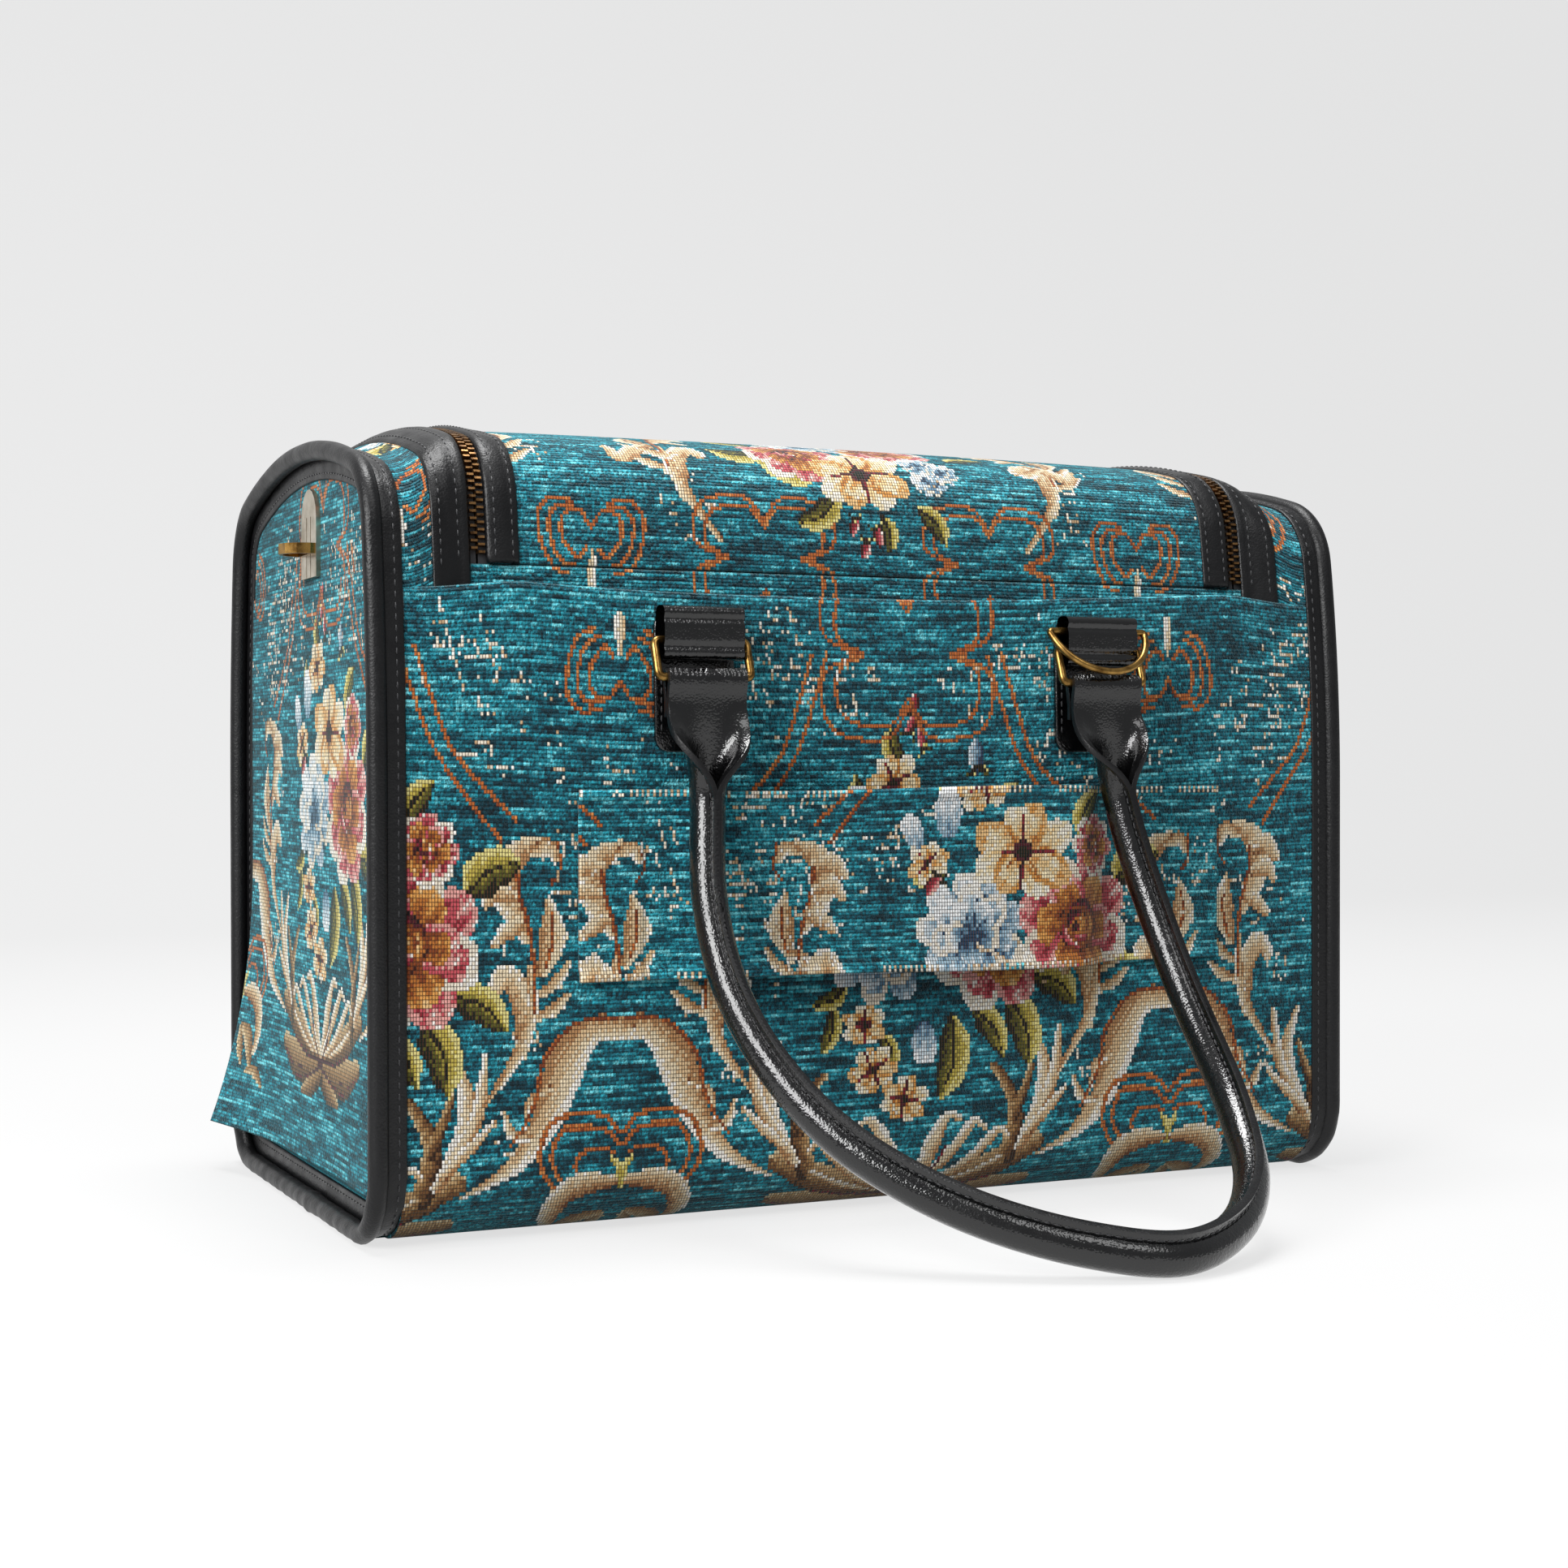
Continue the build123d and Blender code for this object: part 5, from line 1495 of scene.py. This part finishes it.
def build_tabs():
    """A leather tab for each ring: a backing strip and the loop that holds the ring's pin."""
    made = []
    inner_y = HALF_DEPTH + 0.3
    for side, side_name in ((NEAR, "near"), (FAR, "far")):
        for end, end_name in ((LEFT, "left"), (RIGHT, "right")):
            node = f"{side_name}_{end_name}_tab"
            x = end * TAB_X
            form = bmesh.new()
            corners = rounded_loop([(TAB_WIDTH / 2, TAB_TOP - 2), (-TAB_WIDTH / 2, TAB_TOP - 2),
                                    (-TAB_WIDTH / 2, TAB_BOTTOM), (TAB_WIDTH / 2, TAB_BOTTOM)], 7.0, 6)
            verts = [form.verts.new(Vector((x + a, side * strip_depth(b, side), b)) * MM) for a, b in corners]
            face = form.faces.new(verts)
            raised = bmesh.ops.extrude_face_region(form, geom=[face])
            moved = [v for v in raised["geom"] if isinstance(v, bmesh.types.BMVert)]
            bmesh.ops.translate(form, verts=moved, vec=Vector((0, side * TAB_THICKNESS, 0)) * MM)
            rim = [edge for edge in form.edges if len(edge.link_faces) == 2
                   and edge.calc_face_angle(0) > 0.8]
            bmesh.ops.bevel(form, geom=rim, offset=0.6 * MM, segments=2, profile=0.5,
                            affect="EDGES", material=-1)
            bmesh.ops.recalc_face_normals(form, faces=form.faces)
            loop = rounded_loop([(0.0, TAB_TOP), (LOOP_DEPTH, TAB_TOP),
                                 (LOOP_DEPTH, TAB_TOP - LOOP_HEIGHT), (0.0, TAB_TOP - LOOP_HEIGHT)], 4.0, 6)
            loop = even_loop(loop, 72)
            share = np.linspace(0, 1, len(loop))

            def skin(u, v, inward=0.0):
                depth = np.interp(u, share, loop[:, 0])
                z = np.interp(u, share, loop[:, 1])
                depth = depth + inward * np.sign(LOOP_DEPTH / 2 - depth) * np.minimum(
                    1, np.abs(LOOP_DEPTH / 2 - depth) / 2)
                middle = TAB_TOP - LOOP_HEIGHT / 2
                groove = np.exp(-((np.abs(z - middle) - 5.6) / 1.3) ** 2)
                depth = depth - 0.9 * groove * (depth > LOOP_DEPTH / 2) * (inward == 0)
                z = z + inward * np.sign(middle - z) * np.minimum(1, np.abs(middle - z) / 6)
                return np.stack([x + (v - 0.5) * TAB_WIDTH * (1 - 0.02 * inward),
                                 side * (inner_y + TAB_THICKNESS + depth), z], 1)

            grid_form(len(loop) - 1, 8, skin, closed_across=True, form=form)

            def inner_skin(u, v):
                return skin(u, v, inward=2.2)

            grid_form(len(loop) - 1, 8, inner_skin, closed_across=True, form=form)
            piece = place_object(node + "_leather", form, "handle")
            seams = bmesh.new()
            y = side * (strip_depth(TAB_BOTTOM + 10, side) + TAB_THICKNESS + 0.05)
            for a in (-TAB_WIDTH / 2 + 2.6, TAB_WIDTH / 2 - 2.6):
                def point_at(t):
                    return np.stack([np.full_like(t, x + a), np.full_like(t, y), TAB_BOTTOM + 8 + t], 1)

                def normal_at(t):
                    return np.tile([0.0, float(side), 0.0], (len(t), 1))

                sew(seams, stitch_frames(point_at, normal_at, 26.0, size_of("tab_stitch")))
            seams = place_object(node + "_stitches", seams, "thread")
            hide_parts(node)
            made += [piece, seams]
    return made


def strip_depth(height, side):
    """How far from the middle a tab's backing lies at a height."""
    skin = POCKET if side == NEAR else BODY
    s = skin.reach(height, side)
    return abs(skin.at(np.array([0.0]), np.array([s]))[0, 1]) + 0.2


# The near handle's middle line, as places along the bag and reaches down from the ring's bar
HANDLE_ROUTE = [(-94.0, 0), (-94.4, 22), (-96, 54), (-100, 92), (-98, 132), (-87, 172), (-69, 208),
                (-38, 244), (-2, 270), (32, 281), (66, 266), (91, 238), (104, 203), (108, 166),
                (106, 110), (99, 54), (94.6, 22), (94.0, 0)]
STRAP_HALF, TUBE_ARC, FIN = 17.0, 18.4, 4.6
STRAP_END = 54.0


def handle_line():
    """The handle's middle line in space, with the length and the turn outward at each point."""
    route = np.array(HANDLE_ROUTE, float)
    route[[0, -1], 0] = (-TAB_X, TAB_X)
    line, _ = curve_through(route, 900)
    turn = line[:, 1] / HANDLE_BEND
    points = np.stack([line[:, 0], -BAR_Y - HANDLE_BEND * (1 - np.cos(turn)),
                       BAR_Z - HANDLE_BEND * np.sin(turn)], 1)
    run = np.concatenate([[0.0], np.cumsum(np.linalg.norm(np.diff(points, axis=0), axis=1))])
    return points, run, turn


def build_handles():
    """Each handle: one strap folded over both rings, rolled to a tube whose edges stand out as a fin."""
    points, run, turn = handle_line()
    length = run[-1]
    back, bar_wrap = 16.0, 3.0
    wrap = bar_wrap * math.pi
    total = length + 2 * (back + wrap)

    def spine(t):
        """Point, outward normal, heading and closing of the strap at a length from its first end."""
        t = np.asarray(t, float)
        inner = np.where(t <= total / 2, t, total - t)
        first = (t <= total / 2)
        along = np.clip(inner - back - wrap, 0, None)
        at = np.where(first, along, length - along)
        point = np.stack([np.interp(at, run, points[:, axis]) for axis in range(3)], 1)
        bend = np.interp(at, run, turn)
        out = np.stack([np.zeros_like(bend), -np.cos(bend), np.sin(bend)], 1)
        ahead = np.stack([np.interp(np.clip(at + 1.5, 0, length), run, points[:, axis])
                          - np.interp(np.clip(at - 1.5, 0, length), run, points[:, axis])
                          for axis in range(3)], 1)
        ahead /= np.linalg.norm(ahead, axis=1)[:, None]
        reach = along
        closing = smooth((reach - 10) / (STRAP_END - 12))
        front = 1.3 + (bar_wrap - 1.3) * np.exp(-((reach / 6.0) ** 2))
        offset = front * (1 - closing) - 6.1 * closing
        round_bar = np.clip((back + wrap - inner) / wrap, 0, 1) * math.pi
        behind = np.clip(back - inner, 0, None)
        end_x = np.where(first, points[0, 0], points[-1, 0])
        on_bar = inner < back + wrap
        rim = np.stack([end_x,
                        -BAR_Y - bar_wrap * np.cos(round_bar)
                        * np.where(behind > 0, np.maximum(0.4, 1 - behind / 16), 1),
                        BAR_Z + bar_wrap * np.sin(round_bar) - behind], 1)
        middle = point + out * offset[:, None]
        spot = np.where(on_bar[:, None], rim, middle)
        bar_out = np.stack([np.zeros_like(bend), -np.cos(round_bar), np.sin(round_bar)], 1)
        out = np.where(on_bar[:, None], bar_out, out)
        return spot, out, ahead, np.where(on_bar, 0.0, closing)

    share_of_arc = TUBE_ARC / (TUBE_ARC + FIN)
    steps = np.linspace(0, 1, 61)

    def section(closing):
        """Half of the strap's cross-section, for each closing: sideways and outward distances."""
        heading = np.where(steps < share_of_arc, steps / share_of_arc * 0.935 * math.pi,
                           np.maximum(math.pi / 2, 0.935 * math.pi
                                      - (steps - share_of_arc) / (1 - share_of_arc) * 4 * math.pi / 2))
        angles = closing[:, None] * heading[None]
        half = STRAP_HALF + closing * (TUBE_ARC + FIN - STRAP_HALF)
        step = half[:, None] / 60
        middle = np.zeros((len(closing), 1))
        sideways = np.concatenate([middle, np.cumsum(np.cos(angles[:, 1:]) * step, 1)], 1)
        outward = np.concatenate([middle, np.cumsum(np.sin(angles[:, 1:]) * step, 1)], 1)
        return sideways, outward

    def on_strap(t, across):
        """A point of the strap: a length along it and a share across, from -1 to 1."""
        spot, out, ahead, closing = spine(t)
        sideways, outward = section(closing)
        position = np.abs(across) * 60
        low = np.minimum(position.astype(int), 59)
        part = position - low
        rows = np.arange(len(closing))
        a = sideways[rows, low] * (1 - part) + sideways[rows, low + 1] * part
        b = outward[rows, low] * (1 - part) + outward[rows, low + 1] * part
        width_way = np.cross(ahead, out)
        width_way[:, :] /= np.maximum(np.linalg.norm(width_way, axis=1), 1e-6)[:, None]
        on_bar = closing == 0
        width_way = np.where(on_bar[:, None] & (np.abs(width_way[:, :1]) > 0.5),
                             np.sign(width_way[:, :1]) * np.array([[1.0, 0, 0]]), width_way)
        return spot + width_way * (np.sign(across) * a)[:, None] + out * b[:, None]

    made = {}
    count = int(total / 2.2)
    for side, name in ((NEAR, "near_handle"), (FAR, "far_handle")):
        def place(u, v):
            spots = on_strap(v * total, 2 * u - 1)
            spots[:, 1] *= -side
            return spots

        form = grid_form(56, count, place)
        bmesh.ops.recalc_face_normals(form, faces=form.faces)
        piece = place_object(name + "_leather", form, "handle")
        wall = piece.modifiers.new("thickness", "SOLIDIFY")
        wall.thickness, wall.offset = size_of("leather_gauge") * MM, 0
        piece.data.materials.append(finish_of("trim"))
        wall.material_offset_rim = 1
        round_edges = piece.modifiers.new("painted_edge", "BEVEL")
        round_edges.width, round_edges.segments = 0.6 * MM, 2
        round_edges.limit_method, round_edges.angle_limit = "ANGLE", math.radians(60)
        seams = bmesh.new()
        start = back + wrap + STRAP_END - 14
        for across in (-0.885, 0.885):
            def point_at(t):
                spots = on_strap(start + t, np.full_like(t, across))
                spots[:, 1] *= -side
                return spots

            def normal_at(t):
                out, ahead = spine(start + t)[1:3]
                way = np.cross(ahead, out) * np.sign(across)
                way[:, 1] *= -side
                return way

            sew(seams, stitch_frames(point_at, normal_at, total - 2 * start,
                                     size_of("handle_stitch"), 1.25))
        seams = place_object(name + "_stitches", seams, "thread")
        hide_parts(name)
        made[name] = [piece, seams]
    return made


def evaluated_mesh(piece):
    """A piece's mesh with its modifiers applied."""
    bpy.context.view_layer.update()
    graph = bpy.context.evaluated_depsgraph_get()
    return bpy.data.meshes.new_from_object(piece.evaluated_get(graph))


def points_of(mesh):
    """A mesh's points as rows, in metres."""
    flat = np.zeros(len(mesh.vertices) * 3)
    mesh.vertices.foreach_get("co", flat)
    return flat.reshape(-1, 3)


def fill(piece, voxel, pressure, cap):
    """Remeshes a closed case and swells it as filled cloth, moving no point further than the cap."""
    coarse = piece.modifiers.new("even_mesh", "REMESH")
    coarse.mode, coarse.voxel_size = "VOXEL", voxel * MM
    case = evaluated_mesh(piece)
    piece.modifiers.clear()
    piece.data = case
    before = points_of(case)
    cloth = piece.modifiers.new("filling", "CLOTH")
    cloth.settings.use_pressure = True
    cloth.settings.uniform_pressure_force = pressure
    cloth.settings.effector_weights.gravity = 0.0
    scene = bpy.context.scene
    for moment in range(1, 21):
        scene.frame_set(moment)
    moved = points_of(evaluated_mesh(piece)) - before
    piece.modifiers.clear()
    scene.frame_set(1)
    far = np.linalg.norm(moved, axis=1)[:, None]
    moved *= np.minimum(1.0, cap * MM / np.maximum(far, 1e-9))
    case.vertices.foreach_set("co", (before + moved).ravel())
    case.update()


def build_pad():
    """The comfort pad: a filled case that swells between its edges, with six tufts sewn down."""
    low, high = millimetres("comfort_pad")
    middle, half = (low + high) / 2, (high - low) / 2 - (5.0, 5.0, 4.5)

    def shell(sign):
        def place(u, v):
            a, b = 2 * u - 1, 2 * v - 1
            edge = np.clip(1 - np.maximum(np.abs(a) ** 6, np.abs(b) ** 6), 0, 1) ** 0.3
            pull_x = 1 - 0.02 * np.cos(b * math.pi / 2)
            pull_y = 1 - 0.03 * np.cos(a * math.pi / 2)
            return np.stack([middle[0] + a * half[0] * pull_x, middle[1] + b * half[1] * pull_y,
                             middle[2] + sign * half[2] * edge], 1)
        return place

    form = grid_form(120, 56, shell(1))
    grid_form(120, 56, shell(-1), form=form)
    bmesh.ops.remove_doubles(form, verts=form.verts, dist=0.01 * MM)
    bmesh.ops.recalc_face_normals(form, faces=form.faces)
    piece = place_object("comfort_cushion", form, "pad")
    fill(piece, 5.0, 4.0, 5.0)
    points = points_of(piece.data) / MM
    for x in (-1, 0, 1):
        for y in (-1, 1):
            off = np.hypot(points[:, 0] - middle[0] - x * half[0] * 0.62,
                           points[:, 1] - middle[1] - y * half[1] * 0.48)
            points[:, 2] -= 4.5 * np.exp(-(off / 9.0) ** 2) * (points[:, 2] > middle[2])
    points[:, 2] = np.clip(points[:, 2], low[2] + 0.3, None)
    piece.data.vertices.foreach_set("co", (points * MM).ravel())
    piece.data.shade_smooth()
    round_off = piece.modifiers.new("soft", "SUBSURF")
    round_off.levels = round_off.render_levels = 1
    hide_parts("comfort_pad")
    return piece


NODE_FINISHES = {
    "plain": ["left_end_panel", "right_end_panel"],
    "net": ["left_end_mesh", "right_end_mesh", "far_mesh_window"],
    "trim": ["far_window_binding"],
    "champagne": ["left_strap_plate", "right_strap_plate"],
    "brass": ["left_strap_loop", "right_strap_loop"],
    "bronze": ["left_slider", "right_slider", "left_pull_tab", "right_pull_tab"],
    "board": ["base_board"],
}


def dress_nodes():
    """Gives the carried-over solids their finishes."""
    for finish, nodes in NODE_FINISHES.items():
        for node in nodes:
            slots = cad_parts[node].data.materials
            slots.clear()
            slots.append(finish_of(finish))


# Stage: pale cove, lamps and camera

CAMERA_SPOT = (-0.4748, -1.0338, 0.1901)
CAMERA_TURN = (math.radians(89.469), math.radians(0.09), math.radians(-24.835))
CAMERA_LENS = 55.6


def build_stage():
    """A pale floor that curves up behind the bag, soft lamps and the camera."""
    def cove(u, v):
        x = (2 * u - 1) * 6000
        t = v * 9000
        bend = np.clip((t - 4200) / 1500, 0, math.pi / 2)
        y = -2500 + np.minimum(t, 4200) + 1500 * np.sin(bend)
        z = 1500 * (1 - np.cos(bend)) + np.clip(t - 4200 - 1500 * math.pi / 2, 0, None)
        return np.stack([x, y, z], 1)

    form = grid_form(24, 120, cove, outward=(0, 0, 1))
    floor = bpy.data.meshes.new("cove")
    form.to_mesh(floor)
    form.free()
    floor.shade_smooth()
    floor = bpy.data.objects.new("cove", floor)
    bpy.context.scene.collection.objects.link(floor)
    paper, tree, shader = new_material("pale_paper", {"Base Color": tint("paper"), "Roughness": 0.9})
    # The eye sees glowing paper, and the bag is lit by a duller one, so its foot stays dark
    path = add(tree, "LightPath")
    seen = add(tree, "Math", (path["Is Camera Ray"], path["Is Glossy Ray"]), operation="MAXIMUM")[0]
    glow = add(tree, "Emission", {"Color": colour4("#efefef"), "Strength": 0.82})[0]
    cover = add(tree, "BsdfDiffuse", {"Color": colour4("#747474")})[0]
    both = add(tree, "AddShader", (glow, cover))[0]
    mixed = add(tree, "MixShader", (seen, shader.outputs[0], both))[0]
    connect(tree, tree.nodes["Material Output"], (mixed,))
    floor.data.materials.append(paper)
    world = bpy.data.worlds.new("studio")
    world.use_nodes = True
    world.node_tree.nodes["Background"].inputs[0].default_value = colour4("#f4f6f8")
    world.node_tree.nodes["Background"].inputs[1].default_value = 0.36
    bpy.context.scene.world = world
    lamps = (("window_lamp", (-1.45, -0.75, 0.95), 0.9, 30.0), ("front_lamp", (0.2, -1.9, 2.3), 1.1, 14.0),
             ("top_lamp", (-0.1, 0.2, 2.3), 1.0, 50.0))
    for name, spot, size, power in lamps:
        lamp = bpy.data.lights.new(name, "AREA")
        lamp.shape, lamp.size, lamp.energy = "SQUARE", size, power
        holder = bpy.data.objects.new(name, lamp)
        holder.location = spot
        holder.rotation_euler = (Vector((0, 0, 0.16)) - Vector(spot)).to_track_quat("-Z", "Y").to_euler()
        bpy.context.scene.collection.objects.link(holder)
    camera = bpy.data.cameras.new("photo_camera")
    camera.lens, camera.sensor_width = CAMERA_LENS, 36.0
    camera.clip_end = 50.0
    holder = bpy.data.objects.new("photo_camera", camera)
    holder.location, holder.rotation_euler = CAMERA_SPOT, CAMERA_TURN
    bpy.context.scene.collection.objects.link(holder)
    bpy.context.scene.camera = holder
    bpy.context.scene.view_settings.view_transform = "Standard"


def carry(pieces, body, slot):
    """Lets pieces ride on a body. The slot is not used."""
    for piece in pieces:
        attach(piece, body)


class CARRIER_OT_stage(bpy.types.Operator):
    """Adds the pale cove, the lamps and the camera"""
    bl_idname = "carrier.stage"
    bl_label = "Studio stage"

    def execute(self, context):
        build_stage()
        return {"FINISHED"}


class CARRIER_OT_finish_solids(bpy.types.Operator):
    """Gives the carried-over solids their metal, netting, board and cloth"""
    bl_idname = "carrier.finish_solids"
    bl_label = "Finish the solids"

    def execute(self, context):
        dress_nodes()
        return {"FINISHED"}


class CARRIER_OT_pocket(bpy.types.Operator):
    """Adds the near slip pocket with its slack hem"""
    bl_idname = "carrier.pocket"
    bl_label = "Slip pocket"

    def execute(self, context):
        carry([build_pocket()], "bag", "tapestry")
        return {"FINISHED"}


class CARRIER_OT_body(bpy.types.Operator):
    """Adds the body's cloth: shoulders, far wall, hinge strip, base and near wall"""
    bl_idname = "carrier.body"
    bl_label = "Body cloth"

    def execute(self, context):
        carry(build_body(), "bag", "tapestry")
        return {"FINISHED"}


class CARRIER_OT_lid(bpy.types.Operator):
    """Adds the lid's padded cloth"""
    bl_idname = "carrier.lid"
    bl_label = "Lid"

    def execute(self, context):
        carry([build_lid()], "lid", "tapestry")
        return {"FINISHED"}


class CARRIER_OT_sleeve(bpy.types.Operator):
    """Adds the trolley sleeve on the pocket"""
    bl_idname = "carrier.sleeve"
    bl_label = "Trolley sleeve"

    def execute(self, context):
        carry([build_sleeve()], "bag", "tapestry")
        return {"FINISHED"}


class CARRIER_OT_ends(bpy.types.Operator):
    """Adds the cloth of both ends and the curtains over their windows"""
    bl_idname = "carrier.ends"
    bl_label = "Ends and curtains"

    def execute(self, context):
        carry(build_curtains() + build_end_cloths(), "bag", "tapestry")
        return {"FINISHED"}


class CARRIER_OT_zip(bpy.types.Operator):
    """Adds the zip's leather bands, stitches, tapes and teeth on the lid and on the body"""
    bl_idname = "carrier.zip"
    bl_label = "Zip"

    def execute(self, context):
        lid_parts, body_parts = build_zip()
        for parts, body in ((lid_parts, "lid"), (body_parts, "bag")):
            for piece, slot in zip(parts, ("leather_trim", "leather_trim", "zip_metal", "leather_trim")):
                carry([piece], body, slot)
        return {"FINISHED"}


class CARRIER_OT_piping(bpy.types.Operator):
    """Adds the leather piping with its flanges and stitches round both ends"""
    bl_idname = "carrier.piping"
    bl_label = "Piping"

    def execute(self, context):
        carry(build_piping(), "bag", "leather_trim")
        return {"FINISHED"}


class CARRIER_OT_rings(bpy.types.Operator):
    """Adds the four handle rings and the D-ring"""
    bl_idname = "carrier.rings"
    bl_label = "Rings"

    def execute(self, context):
        for node, piece in build_rings().items():
            carry([piece], node, "antique_brass")
        return {"FINISHED"}


class CARRIER_OT_tabs(bpy.types.Operator):
    """Adds the four leather tabs that hold the rings"""
    bl_idname = "carrier.tabs"
    bl_label = "Tabs"

    def execute(self, context):
        carry(build_tabs(), "bag", "handle_leather")
        return {"FINISHED"}


class CARRIER_OT_handles(bpy.types.Operator):
    """Adds the two rolled handles with their stitches"""
    bl_idname = "carrier.handles"
    bl_label = "Handles"

    def execute(self, context):
        for body, pieces in build_handles().items():
            carry(pieces, body, "handle_leather")
        return {"FINISHED"}


class CARRIER_OT_pad(bpy.types.Operator):
    """Adds the comfort pad on the cabin floor"""
    bl_idname = "carrier.pad"
    bl_label = "Comfort pad"

    def execute(self, context):
        carry([build_pad()], "bag", "pad_cloth")
        return {"FINISHED"}


OPERATORS = (CARRIER_OT_stage, CARRIER_OT_finish_solids, CARRIER_OT_pocket, CARRIER_OT_body,
             CARRIER_OT_lid, CARRIER_OT_sleeve, CARRIER_OT_ends, CARRIER_OT_zip, CARRIER_OT_piping,
             CARRIER_OT_rings, CARRIER_OT_tabs, CARRIER_OT_handles, CARRIER_OT_pad)


class VIEW3D_PT_carrier(bpy.types.Panel):
    """Lists the steps that dress the carrier, and the sizes and colours they use"""
    bl_idname = "VIEW3D_PT_carrier"
    bl_label = "Pet Carrier"
    bl_space_type = "VIEW_3D"
    bl_region_type = "UI"
    bl_category = "Pet Carrier"

    def draw(self, context):
        for operator in OPERATORS:
            self.layout.operator(operator.bl_idname)
        for group in (context.scene.carrier_sizes, context.scene.carrier_colours):
            column = self.layout.column(align=True)
            for name in type(group).__annotations__:
                column.prop(group, name)


CLASSES = (CarrierSizes, CarrierColours, *OPERATORS, VIEW3D_PT_carrier)


def register():
    """Adds the classes, and the sizes and colours to each scene."""
    for kind in CLASSES:
        bpy.utils.register_class(kind)
    bpy.types.Scene.carrier_sizes = PointerProperty(type=CarrierSizes)
    bpy.types.Scene.carrier_colours = PointerProperty(type=CarrierColours)


def unregister():
    """Takes them away again."""
    del bpy.types.Scene.carrier_colours
    del bpy.types.Scene.carrier_sizes
    for kind in reversed(CLASSES):
        bpy.utils.unregister_class(kind)


def main():
    """Builds the whole carrier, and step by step."""
    register()
    bpy.ops.carrier.stage()
    bpy.ops.carrier.finish_solids()
    bpy.ops.carrier.pocket()
    bpy.ops.carrier.body()
    bpy.ops.carrier.lid()
    bpy.ops.carrier.sleeve()
    bpy.ops.carrier.ends()
    bpy.ops.carrier.zip()
    bpy.ops.carrier.piping()
    bpy.ops.carrier.rings()
    bpy.ops.carrier.tabs()
    bpy.ops.carrier.handles()
    bpy.ops.carrier.pad()
    bpy.context.view_layer.update()


if __name__ == "__main__":
    main()
